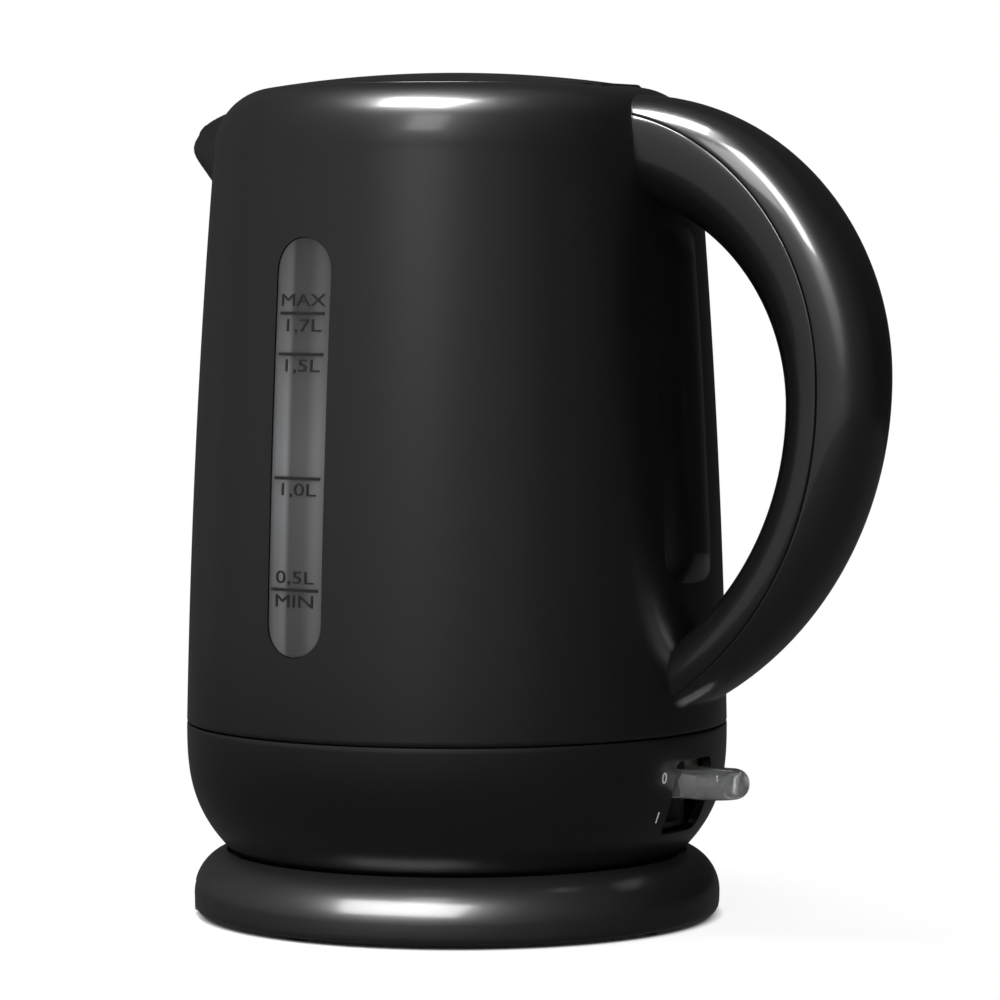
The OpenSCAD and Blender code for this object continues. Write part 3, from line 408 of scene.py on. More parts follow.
def window_finish(tint):
    """Smoked clear plastic with painted shading: lighter and darker upright bands painted in its colour stand in for
    light on the ribs of its moulding, and a painted glow makes it brightest halfway up.
    """
    mat = finish_of("smoked_window_painted_shade", tint, 0.34, grain=0.05, wear=0.12, variation=0.35, Coat_Weight=0.35,
                    Coat_Roughness=0.12, Specular_IOR_Level=0.35)
    tree = mat.node_tree
    shader = tree.nodes["Principled BSDF"]
    coord = node(tree, "ShaderNodeTexCoord")
    apart = node(tree, "ShaderNodeSeparateXYZ")
    link(tree, coord.outputs["Object"], apart.inputs[0])
    across = node(tree, "ShaderNodeMapRange")
    across.inputs["From Min"].default_value = -0.0165
    across.inputs["From Max"].default_value = 0.0018
    link(tree, apart.outputs["X"], across.inputs["Value"])
    # painted shading: lighter and darker upright bands across the window stand in for light on the moulding's ribs
    painted_rib_shade = node(tree, "ShaderNodeValToRGB")
    ramp = painted_rib_shade.color_ramp
    ramp.interpolation = "EASE"
    ramp.elements[0].position, ramp.elements[0].color = 0.0, (0.045, 0.046, 0.048, 1)
    ramp.elements[1].position, ramp.elements[1].color = 1.0, (0.075, 0.077, 0.08, 1)
    for place, value in ((0.14, 0.1), (0.28, 0.125), (0.4, 0.045), (0.62, 0.05), (0.86, 0.095)):
        element = ramp.elements.new(place)
        element.color = (value, value * 1.01, value * 1.04, 1)
    link(tree, across.outputs[0], painted_rib_shade.inputs[0])
    # painted glow: the window's colour is brightest halfway up and darker towards its ends
    up = node(tree, "ShaderNodeMapRange")
    up.inputs["From Min"].default_value = 0.075
    up.inputs["From Max"].default_value = 0.19
    link(tree, apart.outputs["Z"], up.inputs["Value"])
    rise = node(tree, "ShaderNodeValToRGB")
    rise.color_ramp.elements[0].color = (0.55, 0.55, 0.55, 1)
    rise.color_ramp.elements[1].color = (0.42, 0.42, 0.42, 1)
    peak = rise.color_ramp.elements.new(0.5)
    peak.color = (1, 1, 1, 1)
    link(tree, up.outputs[0], rise.inputs[0])
    # the painted bands times the painted glow become the window's whole colour, in place of its plain tint
    mix = node(tree, "ShaderNodeMix", data_type="RGBA", blend_type="MULTIPLY")
    mix.inputs["Factor"].default_value = 1
    link(tree, painted_rib_shade.outputs[0], mix.inputs["A"])
    link(tree, rise.outputs[0], mix.inputs["B"])
    link(tree, mix.outputs["Result"], shader.inputs["Base Color"])
    return mat


def clear_finish():
    """Clear polycarbonate for the switch lever."""
    mat = finish_of("clear_lever", (0.86, 0.87, 0.88), 0.06, grain=0.02, wear=0.03, variation=0.04,
                    Transmission_Weight=0.92, IOR=1.5)
    return mat


def lit(name, tint, power):
    mat = finish_of(name, tint, 0.3, Emission_Strength=power)
    mat.node_tree.nodes["Principled BSDF"].inputs["Emission Color"].default_value = (*tint, 1)
    return mat


def make_materials():
    c = COLOURS
    MATERIALS.update(
        shell=finish_of("polished_black", c.shell, 0.34, grain=0.02, size=1400, wear=0.05, variation=0.12,
                        Specular_IOR_Level=0.42, Coat_Weight=0.35, Coat_Roughness=0.15),
        grip=finish_of("polished_grip", c.shell, 0.26, grain=0.02, size=1400, wear=0.06, variation=0.12,
                       Specular_IOR_Level=0.42, Coat_Weight=0.5, Coat_Roughness=0.07),
        matt=finish_of("matt_black", c.matt, 0.55, grain=0.25, size=2200, wear=0.1, variation=0.2),
        rubber=finish_of("rubber_black", c.rubber, 0.8, grain=0.3, size=1800, wear=0.15, variation=0.25,
                         Specular_IOR_Level=0.3),
        window=window_finish(c.window),
        lever=clear_finish(),
        ink=finish_of("mark_ink", c.ink, 0.5, grain=0.05, wear=0.1),
        label=finish_of("switch_ink", c.label, 0.45, grain=0.05, wear=0.1),
        steel=finish_of("bright_steel", c.steel, 0.24, grain=0.06, size=2600, wear=0.12, variation=0.08,
                        Metallic=1.0),
        cast=finish_of("cast_aluminium", (0.72, 0.72, 0.73), 0.42, grain=0.25, size=1500, wear=0.15,
                       Metallic=1.0),
        copper=finish_of("plated_copper", c.copper, 0.3, grain=0.08, size=2000, wear=0.15, Metallic=1.0),
        silicone=finish_of("silicone", c.silicone, 0.5, grain=0.1, size=1500, wear=0.1),
        ivory=finish_of("heat_proof", c.ivory, 0.5, grain=0.15, size=1800, wear=0.12),
        lamp=lit("neon_lamp", c.lamp, 0.15))


# what each CAD node that stays is finished with
NODE_PAINT = {
    "base_plate": "matt", "base_feet": "rubber", "base_screws": "steel", "socket_housing": "matt",
    "socket_contacts": "copper", "cord_clamp": "matt", "coupler_housing": "matt",
    "coupler_pins": "copper", "handle_ribs": "matt", "housing_screws": "steel", "clamp_ring": "matt",
    "floor_seal": "silicone", "floor_plate": "steel", "heat_spreader": "cast", "heating_element": "steel",
    "element_terminals": "steel", "control_unit": "ivory", "bimetal_discs": "copper",
    "control_screws": "steel", "steam_tube": "ivory", "tube_grommet": "silicone", "steam_switch": "ivory",
    "steam_bimetal": "copper", "switch_bracket": "matt", "switch_pin": "steel", "indicator_lamp": "lamp",
    "filter_frame": "matt", "filter_mesh": "steel", "lid_hinge_pin": "steel", "snap_tongue": "matt",
    "lid_liner": "matt", "lid_seal": "silicone", "lid_screws": "steel", "button_springs": "steel",
    "latch_bolt": "steel", "latch_spring": "steel", "gauge_marks": "ink"}


def paint_node(name, paint):
    obj = NODES[name]
    obj.data.materials.clear()
    obj.data.materials.append(MATERIALS[paint])


# ------------------------------------------------------------------ jug body
SPOUT_TIP_R, SPOUT_ROOT_X, SPOUT_ROOT_R, SPOUT_WALL = 6.6, 37.0, 28.0, 2.2
MOUTH_CUT = 0.3  # how far the mouth is cut into the spout's wall
# side view of the spout from the wall up over the tip to the shoulder, as (radius, height)
SPOUT_SIDE = ((68.3, 190.0), (69.6, 193.0), (72.6, 197.0), (76.0, 201.4), (79.3, 205.4), (82.4, 209.0),
              (84.9, 211.8), (86.4, 213.8), (86.95, 215.6), (86.7, 217.2), (85.6, 218.6), (83.4, 219.9),
              (80.6, 221.4), (77.4, 222.8), (73.6, 224.0), (69.4, 225.1), (66.0, 226.2))


def spout_plan(deg, shrink):
    """Reach of the spout's plan outline at an angle from its middle."""
    tip_x = SIZES.spout_reach - SPOUT_TIP_R
    circles = ((tip_x, SPOUT_TIP_R - shrink), (SPOUT_ROOT_X, SPOUT_ROOT_R - shrink))
    ux, uy = math.cos(math.radians(deg)), abs(math.sin(math.radians(deg)))
    best = 0.0
    for cx, r in circles:
        part = (cx * ux) ** 2 - cx * cx + r * r
        if part >= 0:
            best = max(best, cx * ux + math.sqrt(part))
    sine = (SPOUT_ROOT_R - SPOUT_TIP_R) / (tip_x - SPOUT_ROOT_X)
    nx, ny = sine, math.sqrt(1 - sine * sine)
    far = (SPOUT_ROOT_X * nx + SPOUT_ROOT_R - shrink) / (nx * ux + ny * uy)
    low, high = [cx + r * nx for cx, r in (circles[1], circles[0])]
    if low <= far * ux <= high:
        best = max(best, far)
    return best


def soft_max(a, b, blend):
    """The larger of two values, with a rounded change from one to the other."""
    h = max(blend - abs(a - b), 0.0) / blend
    return max(a, b) + h * h * blend * 0.25


def along(line, t):
    """A point of a polyline at share t of its length."""
    spans = [math.dist(a, b) for a, b in zip(line, line[1:])]
    left = t * sum(spans)
    for (a, b), span in zip(zip(line, line[1:]), spans):
        if left <= span:
            k = left / span
            return (a[0] + (b[0] - a[0]) * k, a[1] + (b[1] - a[1]) * k)
        left -= span
    return line[-1]


def smooth_line(line, rounds=2):
    """Rounds the corners of a polyline and keeps its ends."""
    for _ in range(rounds):
        cut = [line[0]]
        for a, b in zip(line, line[1:]):
            cut += [(a[0] * 0.75 + b[0] * 0.25, a[1] * 0.75 + b[1] * 0.25),
                    (a[0] * 0.25 + b[0] * 0.75, a[1] * 0.25 + b[1] * 0.75)]
        line = cut + [line[-1]]
    return line


def inset_line(line, off):
    """A polyline moved to its right by off."""
    made = []
    for i, (x, z) in enumerate(line):
        a, b = line[max(i - 1, 0)], line[min(i + 1, len(line) - 1)]
        dx, dz = b[0] - a[0], b[1] - a[1]
        size = math.hypot(dx, dz)
        made.append((x - dz / size * off, z + dx / size * off))
    return made


SPOUT_FROM_Z = 190.0
SPOUT_ROWS = 44


def body_skin(off):
    """Plain body outline, and the same rows as they run over the spout: lists of (radius, height)."""
    rc, zc, r = shoulder_rc(), shoulder_z(), SIZES.shoulder
    end = math.degrees(shoulder_end())
    plain = [(wall_r(z), z) for z in steps(SPOUT_FROM_Z, zc, 12)] + arc(rc, zc, r, r, 0, end, 16)[1:]
    rim_r = SIZES.lid_r + 2.8
    plain += [(q, dome_z(q)) for q in steps(rc + r * math.cos(math.radians(end)), rim_r, 2)[1:]]
    side = [(wall_r(SPOUT_FROM_Z), SPOUT_FROM_Z)] + list(SPOUT_SIDE[1:]) + [(61.5, 228.9)]
    side = smooth_line(side) + [(rim_r, dome_z(rim_r))]
    if off:
        plain, side = inset_line(plain, off), inset_line(side, off)
    rows = steps(0, 1, SPOUT_ROWS)
    return [along(plain, t) for t in rows], [along(side, t) for t in rows]


def body_outline():
    """Closed outline of the body shell and, for the rows that the spout moves, where they go."""
    low = SIZES.seam_z + 0.2
    wall, lid_r = SIZES.wall, SIZES.lid_r
    well_r, ledge = lid_r + 0.4, SIZES.total_h - 14.5
    outer, outer_side = body_skin(0.0)
    inner, inner_side = body_skin(wall)
    pts = [(wall_r(low) - 0.35, low), (wall_r(low) - 0.1, low + 0.1), (wall_r(low + 0.4), low + 0.45)]
    pts += [(wall_r(z), z) for z in steps(low + 1.2, SPOUT_FROM_Z, 26)[:-1]]
    first = len(pts)
    pts += outer
    pts += [(q, dome_z(q)) for q in (well_r + 1.6, well_r + 0.5)]
    pts += [(well_r + 0.15, dome_z(well_r) - 0.12), (well_r, dome_z(well_r) - 0.5), (well_r, ledge + 0.3),
            (well_r - 0.3, ledge), (44.8, ledge), (44.5, ledge - 0.3), (44.5, ledge - 1.7), (44.8, ledge - 2.0),
            (inner[-1][0], ledge - 2.0)]
    second = len(pts)
    pts += inner[::-1]
    pts += [(wall_r(z) - wall, z) for z in steps(SPOUT_FROM_Z, 67.0, 16)[1:]]
    pts += [(wall_r(66.8) - wall, 66.6), (wall_r(low) - wall, low)]
    moves = {}
    for start, side, shrink in ((first, outer_side, 0.0), (second, inner_side[::-1], SPOUT_WALL)):
        tip = max(range(len(side)), key=lambda i: side[i][0])
        for i, place in enumerate(side):
            above = i - tip if start == first else tip - i
            moves[start + i] = (place, shrink, fade(above / 5))
    return pts, moves


SPOUT_HALF_DEG = 21.0


def spout_share(deg, shrink, plain_r):
    """How far a row is moved towards the spout's side view at an angle from its middle."""
    reach = SIZES.spout_reach - shrink
    far = soft_max(spout_plan(deg, shrink), plain_r, 5.0) - plain_r
    full = soft_max(reach, plain_r, 5.0) - plain_r
    return max(0.0, far / full) * fade((SPOUT_HALF_DEG - deg) / 3.0)


def spout_place(plain, place, shrink, upper, deg):
    """Where the spout moves a point of the plain body; upper is 1 above the tip and 0 below it."""
    (r0, z0), (r1, z1) = plain, place
    inside = SIZES.wall if shrink else 0
    share = spout_share(deg, shrink, SIZES.top_r - inside)
    r, z = r0 + (r1 - r0) * share, z0 + (z1 - z0) * share
    blend = fade((SPOUT_HALF_DEG - deg) / 6)
    rim_z = z0 + (z1 - z0) * blend
    rim_r = soft_max(min(r1, spout_plan(deg, shrink)), body_r(rim_z) - inside, 3.0)
    rim_r = r0 + (rim_r - r0) * blend
    return r + (rim_r - r) * upper, z + (rim_z - z) * upper


def body_form():
    pts, moves = body_outline()
    bm = bmesh.new()
    half = SPOUT_HALF_DEG
    a = math.radians(180 + half)
    verts = [bm.verts.new((r * math.cos(a), r * math.sin(a), z)) for r, z in pts]
    edges = [bm.edges.new((verts[i], verts[(i + 1) % len(verts)])) for i in range(len(verts))]
    turn = bmesh.ops.spin(bm, geom=verts + edges, cent=(0, 0, 0), axis=(0, 0, 1), dvec=(0, 0, 0),
                          angle=math.radians(360 - 2 * half), steps=150, use_merge=False, use_duplicate=False)
    last = turn["geom_last"]
    bmesh.ops.spin(bm, geom=last, cent=(0, 0, 0), axis=(0, 0, 1), dvec=(0, 0, 0),
                   angle=math.radians(2 * half), steps=84, use_merge=False, use_duplicate=False)
    bmesh.ops.remove_doubles(bm, verts=bm.verts, dist=1e-3)
    bmesh.ops.recalc_face_normals(bm, faces=bm.faces)
    rows = {(round(pts[i][0], 2), round(pts[i][1], 2)): (pts[i],) + move for i, move in moves.items()}
    for v in bm.verts:
        radius = math.hypot(v.co.x, v.co.y)
        found = None
        for dr in (0, -0.01, 0.01):
            for dz in (0, -0.01, 0.01):
                found = found or rows.get((round(radius + dr, 2), round(v.co.z + dz, 2)))
        if not found:
            continue
        deg = abs(math.degrees(math.atan2(v.co.y, -v.co.x)))
        if deg > half:
            continue
        r, z = spout_place(*found, deg)
        v.co.x, v.co.y, v.co.z = v.co.x / radius * r, v.co.y / radius * r, z
    return bm


def gauge_outline(grow, reach):
    """Pill outline of the gauge, at a distance from the axis along the gauge's own direction."""
    w = SIZES.gauge_w / 2 + grow
    low, high = SIZES.gauge_z0 + SIZES.gauge_w / 2, SIZES.gauge_z1 - SIZES.gauge_w / 2
    pts = [(w * math.cos(math.radians(a)), high + w * math.sin(math.radians(a))) for a in range(0, 181, 6)]
    pts += [(w * math.cos(math.radians(a)), low + w * math.sin(math.radians(a))) for a in range(180, 361, 6)]
    return [(reach, y, z) for y, z in pts]


GAUGE_DEG = -95.7


def gauge_cutter(grow):
    return turn_z(prism(gauge_outline(grow, 50), (50, 0, 0)), GAUGE_DEG)


class KETTLE_OT_body(bpy.types.Operator):
    """Body shell with spout, lid well and gauge slot"""
    bl_idname = "kettle.body"
    bl_label = "Body shell"

    def execute(self, context):
        well_r = SIZES.lid_r + 0.4
        hinge_x, hinge_z = SIZES.lid_r + 1.2, dome_z(SIZES.lid_r) - 1.7
        tip = SIZES.spout_reach - SPOUT_TIP_R
        mouth = []
        r_tip, r_root = [r - SPOUT_WALL + MOUTH_CUT for r in (SPOUT_TIP_R, SPOUT_ROOT_R)]
        slope = math.degrees(math.asin((r_root - r_tip) / (tip - SPOUT_ROOT_X)))
        for a in steps(-(90 - slope), 90 - slope, 16):
            mouth.append((-tip - r_tip * math.cos(math.radians(a)), r_tip * math.sin(math.radians(a)), 216.0))
        edge_x = -65.3
        for side in (1, -1):
            wide = (SPOUT_ROOT_X * math.sin(math.radians(slope)) + r_root + edge_x * math.sin(math.radians(slope)))
            mouth.append((edge_x, side * wide / math.cos(math.radians(slope)), 216.0))
        tools = [
            ("DIFFERENCE", gauge_cutter(0.1)),
            ("DIFFERENCE", prism(mouth, (0, 0, 30))),
            ("DIFFERENCE", rod(2.2, (hinge_x, -11.7, hinge_z), (hinge_x, 11.7, hinge_z))),
            ("DIFFERENCE", box((hinge_x - 4, -11.7, hinge_z), (hinge_x + 2.2, 11.7, hinge_z + 4))),
            ("DIFFERENCE", box((hinge_x - 4, -16, hinge_z + 0.7), (hinge_x + 0.3, 16, hinge_z + 4))),
            ("DIFFERENCE", box((-well_r - 3, -6, 224.2), (-well_r + 1.5, 6, 244)))]
        bm = shaped(body_form(), *tools)
        lug = [box((hinge_x - 2.2, s * 13.95 - 2.25, hinge_z - 3.4), (hinge_x + 3, s * 13.95 + 2.25, hinge_z + 0.4))
               for s in (-1, 1)]
        bm = shaped(bm, *[("UNION", b) for b in lug])
        piece("body_wall", bm, "jug", MATERIALS["shell"], ["body_shell"], form=body_form())
        return {"FINISHED"}


class KETTLE_OT_gauge(bpy.types.Operator):
    """Smoked gauge window with its figures and words"""
    bl_idname = "kettle.gauge"
    bl_label = "Water gauge"

    def execute(self, context):
        def pane():
            low, high = SIZES.gauge_z0 - 4, SIZES.gauge_z1 + 4
            outer = [(wall_r(z) - 0.35, z) for z in steps(low, high, 24)]
            inner = [(wall_r(z) - SIZES.wall, z) for z in steps(high, low, 24)]
            return turned(outer + inner, 40, GAUGE_DEG - 12, 24)
        bm = shaped(pane(), ("INTERSECT", gauge_cutter(-0.1)))
        piece("gauge_pane", bm, "jug", MATERIALS["window"], ["gauge_window"], form=pane())
        marks()
        return {"FINISHED"}


def words(name, text, height, deg, z, off, paint, slot, body="jug", wide=1.0, thick=0.12, round_r=None):
    """Raised letters that follow the jug's wall; deg and z give the middle of the text."""
    curve = bpy.data.curves.new(name, "FONT")
    curve.body = text
    curve.size = 1.0
    curve.align_x, curve.align_y = "CENTER", "CENTER"
    curve.resolution_u = 4
    loose = bpy.data.objects.new(name, curve)
    bpy.context.scene.collection.objects.link(loose)
    bpy.context.view_layer.update()
    flat = bpy.data.meshes.new_from_object(loose.evaluated_get(bpy.context.evaluated_depsgraph_get()))
    bpy.data.objects.remove(loose)
    bpy.data.curves.remove(curve)
    bm = bmesh.new()
    bm.from_mesh(flat)
    bpy.data.meshes.remove(flat)
    bmesh.ops.remove_doubles(bm, verts=bm.verts, dist=1e-4)
    size = height / 0.69
    bmesh.ops.scale(bm, vec=(size * wide, size, 1), verts=bm.verts)
    pushed = bmesh.ops.extrude_face_region(bm, geom=bm.faces[:])
    bmesh.ops.translate(bm, vec=(0, 0, thick), verts=[v for v in pushed["geom"] if isinstance(v, bmesh.types.BMVert)])
    for v in bm.verts:
        zz = z + v.co.y
        base = (wall_r(zz) if round_r is None else round_r(zz)) + off + v.co.z
        a = math.radians(deg) + v.co.x / base
        v.co = Vector((base * math.cos(a), base * math.sin(a), zz))
    bmesh.ops.recalc_face_normals(bm, faces=bm.faces)
    return piece(name, bm, body, MATERIALS[paint], sharp=30)


# how much wider than the plain letters each word is drawn, by its last letter
MARK_WIDE = {"X": 1.5, "N": 1.6, "L": 1.62}


def marks():
    """Figures and words of the gauge."""
    top, second, third, low = 169.9, 158.9, 125.6, 95.6
    rows = (("mark_full", "MAX", top + 3.4), ("mark_17", "1,7L", top - 3.4), ("mark_15", "1,5L", second - 3.2),
            ("mark_10", "1,0L", third - 3.2), ("mark_05", "0,5L", low + 3.2), ("mark_low", "MIN", low - 3.2))
    for name, text, z in rows:
        words(name, text, 3.3, GAUGE_DEG, z, -0.3, "ink", "mark_ink", wide=MARK_WIDE[text[-1]])


# ------------------------------------------------------------------ lower housing and base
class KETTLE_OT_lower(bpy.types.Operator):
    """Lower housing with its foot ring and the slot for the switch"""
    bl_idname = "kettle.lower"
    bl_label = "Lower housing"

    def execute(self, context):
        top = SIZES.seam_z - 0.2

        def outline():
            pts = [(25.4, BOWL_Z + 0.2), (50, BOWL_Z + 0.2), (50, FOOT_Z + 0.3), (50.3, FOOT_Z), (57.6, FOOT_Z),
                   (58.3, FOOT_Z + 0.15), (60.3, BOWL_Z - 0.8)]
            pts += [(bowl_r(z), z) for z in steps(BOWL_Z, top - 0.6, 36)]
            pts += [(bowl_r(top) - 0.08, top - 0.15), (bowl_r(top) - 0.35, top)]
            pts += [(wall_r(SIZES.seam_z) - 2.9, top), (wall_r(SIZES.seam_z) - 2.9, 57.5),
                    (wall_r(SIZES.seam_z) - 5.2, 57.5)]
            pts += [(bowl_r(z) - 2.6, z) for z in steps(top - 4, 21.0, 20)]
            pts += [(58.5, 19.2), (27.4, 19.2), (27.4, 31), (25.4, 31)]
            return turned(pts, 216)

        def slot(grow):
            w, low, high, r = 10.7 + grow, 27 - grow, 47.5 + grow, 3.0
            ring = []
            for cy, cz, a0 in ((w - r, high - r, 0), (-w + r, high - r, 90), (-w + r, low + r, 180),
                               (w - r, low + r, 270)):
                ring += [(62, cy + r * math.cos(math.radians(a)), cz + r * math.sin(math.radians(a)))
                         for a in steps(a0, a0 + 90, 6)]
            return prism(ring, (30, 0, 0))
        bm = shaped(outline(), ("DIFFERENCE", slot(0)))
        piece("lower_bowl", bm, "jug", MATERIALS["shell"], ["lower_housing"], form=outline())
        words("switch_off_mark", "0", 3.0, -11.6, 43.4, 0.0, "label", "mark_ink", wide=1.0, thick=0.1, round_r=bowl_r)
        words("switch_on_mark", "I", 3.0, -11.6, 32.4, 0.0, "label", "mark_ink", wide=1.0, thick=0.1, round_r=bowl_r)
        return {"FINISHED"}


class KETTLE_OT_base(bpy.types.Operator):
    """Power base: cover and cord gland"""
    bl_idname = "kettle.base"
    bl_label = "Base unit"

    def execute(self, context):
        r = SIZES.base_r
        rc = r - 12.1

        def outline():
            pts = [(18.5, 13.3), (18.5, 15.2), (18.8, 15.5), (63.7, 15.5), (64.2, 15.9), (64.25, 16.8), (64.45, 17.6)]
            pts += arc(rc, 6.5, 12.1, 12.3, 76, 0, 40)
            pts += [(r - 0.03, 5.2), (r - 0.1, 3.6), (r - 0.3, 2.5), (r - 0.8, 1.6), (r - 1.6, 1.1), (r - 2.5, 1.0)]
            pts += [(r - 2.5, 2.0)]
            pts += [(rc + 9.9 * math.cos(math.radians(a)), 6.5 + 10.1 * math.sin(math.radians(a)))
                    for a in steps(-16, 42, 12)]
            return turned(pts, 216)

        notch = turn_z(box((58, -6.6, -1), (96, 6.6, 9.7)), 210.3)
        bm = shaped(outline(), ("DIFFERENCE", notch))
        piece("base_shell", bm, "base", MATERIALS["shell"], ["base_cover"], form=outline())
        block = turned([(60, 1.3), (r - 0.4, 1.3), (r - 0.1, 1.8), (r - 0.1, 7), (r - 0.5, 9.5), (60, 9.5)], 12,
                       210.3 - 5, 10)
        bore = turn_z(rod(3.5, (50, 0, 5), (90, 0, 5)), 210.3)
        bm = shaped(block, ("DIFFERENCE", bore))
        piece("cord_inlet", bm, "base", MATERIALS["matt"], ["cord_gland"])
        return {"FINISHED"}


# ------------------------------------------------------------------ handle
GRIP_X, GRIP_T, GRIP_Z, FINGER_DROP = 132.3, 27.0, 152.5, 7.5
UP_R, DOWN_R, FINGER_UP_R, FINGER_DOWN_R = 76.8, 102.0, 56.7, 80.8
W_TOP, W_MID, W_LOW = 36.0, 29.0, 28.5


def loop_point(x, z, up, down, deg):
    r = up if deg >= 0 else down
    return Vector((x - r + r * math.cos(math.radians(deg)), 0, z + r * math.sin(math.radians(deg))))


def grip_point(deg, around, off):
    """A point of the grip: deg along the loop, around from the outer ridge, moved in by off."""
    outer = loop_point(GRIP_X, GRIP_Z, UP_R, DOWN_R, deg)
    inner = loop_point(GRIP_X - GRIP_T, GRIP_Z - FINGER_DROP, FINGER_UP_R, FINGER_DOWN_R, deg)
    middle, half = (outer + inner) / 2, (outer - inner) / 2
    if deg >= 0:
        wide = (W_MID + (W_TOP - W_MID) * deg / 90) / 2
    else:
        wide = (W_MID + (W_LOW - W_MID) * min(1, -deg / 60)) / 2

    def soft(v):
        return math.copysign(abs(v) ** 0.84, v)
    a = math.radians(around)
    point = middle + half * ((half.length - off) / half.length) * soft(math.cos(a))
    point.y = (wide - off) * soft(math.sin(a))
    return point


def part_deg(deg):
    """Where the two shells of the grip part, in degrees from the outer ridge."""
    if deg >= 0:
        return 90 - 40 * (deg / 90) ** 1.5
    return 90 - 30 * min(1, -deg / 65) ** 2


def root_deg(line, off, out, into):
    """Angle along the loop where a line of the grip meets the body."""
    for _ in range(18):
        mid = (out + into) / 2
        p = grip_point(mid, line(mid), off)
        if math.hypot(p.x, p.y) > body_r(p.z) - 0.6:
            out = mid
        else:
            into = mid
    return (out + into) / 2


def grip_shell(name, outer_side, paint):
    """One of the two shells of the handle."""
    gap = 0.35

    def line_of(share):
        if outer_side:
            return lambda deg: share * (part_deg(deg) - gap)
        return lambda deg: 180 + share * (180 - part_deg(deg) - gap)

    across, down = 40, 110
    bm = bmesh.new()
    bmesh.ops.create_grid(bm, x_segments=across, y_segments=down, size=1)
    ends = {}
    for v in bm.verts:
        share = round(v.co.x, 5)
        line = line_of(share)
        if share not in ends:
            ends[share] = (root_deg(line, 0, -20, -88), root_deg(line, 0, 20, 112))
        low, high = ends[share]
        deg = low + (high - low) * (v.co.y + 1) / 2
        v.co = grip_point(deg, line(deg), 0)
    middle = grip_point(10, 0 if outer_side else 180, 30)
    face = min(bm.faces, key=lambda f: (f.calc_center_median() - grip_point(10, 0 if outer_side else 180, 0)).length)
    face.normal_update()
    if face.normal.dot(face.calc_center_median() - middle) < 0:
        bmesh.ops.reverse_faces(bm, faces=bm.faces)
    obj = piece(name, bm, "jug", MATERIALS[paint],
                ["handle_outer" if outer_side else "handle_inner"], sharp=60)
    shell = obj.modifiers.new("Wall", "SOLIDIFY")
    shell.thickness, shell.offset, shell.use_even_offset = 2.4 * MM, -1, True
    edge = obj.modifiers.new("Rounded edge", "BEVEL")
    edge.width, edge.segments, edge.limit_method, edge.angle_limit = 0.45 * MM, 3, "ANGLE", math.radians(50)
    return obj


class KETTLE_OT_handle(bpy.types.Operator):
    """Loop handle of two shells, and the cover of the spine between its roots"""
    bl_idname = "kettle.handle"
    bl_label = "Handle"

    def execute(self, context):
        grip_shell("grip_back", True, "grip")
        grip_shell("grip_front", False, "grip")
        low, high, half = 94.0, 195.0, 12.0
        bm = bmesh.new()
        bmesh.ops.create_grid(bm, x_segments=36, y_segments=60, size=1)
        for v in bm.verts:
            u, t = v.co.x, v.co.y
            z = low + (high - low) * (t + 1) / 2
            rise = 3.2 * math.cos(u * math.pi / 2) ** 1.4 * fade(5 * (1 - abs(t)))
            r = wall_r(z) - 0.3 + rise
            a = math.radians(u * half)
            v.co = Vector((r * math.cos(a), r * math.sin(a), z))
        back = bmesh.ops.extrude_face_region(bm, geom=bm.faces[:])
        moved = [v for v in back["geom"] if isinstance(v, bmesh.types.BMVert)]
        for v in moved:
            r = math.hypot(v.co.x, v.co.y)
            want = wall_r(v.co.z) - 1.2
            v.co.x, v.co.y = v.co.x / r * want, v.co.y / r * want
        bmesh.ops.recalc_face_normals(bm, faces=bm.faces)
        piece("spine_strip", bm, "jug", MATERIALS["grip"], ["spine_cover"], sharp=50)
        return {"FINISHED"}


# ------------------------------------------------------------------ lid, button and lever
BUTTON_X, BUTTON_R = 26.0, 9.0


def disc_outline(r, low, edge=0.35):
    return [(0, low), (r, low), (r, dome_z(r) - edge), (r - 0.1, dome_z(r) - 0.1), (r - edge, dome_z(r - edge))] + \
        [(q, dome_z(q)) for q in steps(r - edge, 0, 10)[1:]]


class KETTLE_OT_lid(bpy.types.Operator):
    """Lid dome with its hinge barrel, and the release button"""
    bl_idname = "kettle.lid"
    bl_label = "Lid"

    def execute(self, context):
        r = SIZES.lid_r
        ledge = SIZES.total_h - 14.5
        skirt, hem = r - 1, ledge + 3.3
        hinge = (r + 1.2, dome_z(r) - 1.7)

        def outline():
            pts = [(skirt - 1.6, hem), (skirt, hem), (skirt, dome_z(r) - 1.9), (r, dome_z(r) - 1.9),
                   (r, dome_z(r) - 0.4), (r - 0.12, dome_z(r) - 0.1), (r - 0.45, dome_z(r - 0.45))]
            pts += [(q, dome_z(q)) for q in steps(r - 0.45, 0, 22)[1:]]
            pts += [(q, dome_z(q) - 1.9) for q in steps(0, skirt - 1.6, 16)]
            return turned(pts, 192)

        tools = [("UNION", rod(1.9, (hinge[0], -11.5, hinge[1]), (hinge[0], 11.5, hinge[1]), 40)),
                 ("UNION", box((hinge[0] - 4.5, -11.5, hinge[1] + 0.01), (hinge[0], 11.5, hinge[1] + 1.4)))]
        for a in (90, 210, 330):
            x, y = 36 * math.cos(math.radians(a)), 36 * math.sin(math.radians(a))
            tools.append(("UNION", rod(3.4, (x, y, ledge + 2.4), (x, y, dome_z(36) - 1), 32)))
        tools += [("DIFFERENCE", rod(BUTTON_R + 0.3, (BUTTON_X, 0, 200), (BUTTON_X, 0, 300), 72)),
                  ("DIFFERENCE", rod(1.13, (hinge[0], -20, hinge[1]), (hinge[0], 20, hinge[1]), 32)),
                  ("DIFFERENCE", box((-skirt - 1, -5, hem - 3), (-skirt + 2, 5, ledge + 6.1)))]
        bm = shaped(outline(), *tools)
        piece("lid_top", bm, "lid", MATERIALS["shell"], ["lid_dome"], form=outline())
        paint_node("lid_button", "shell")
        return {"FINISHED"}


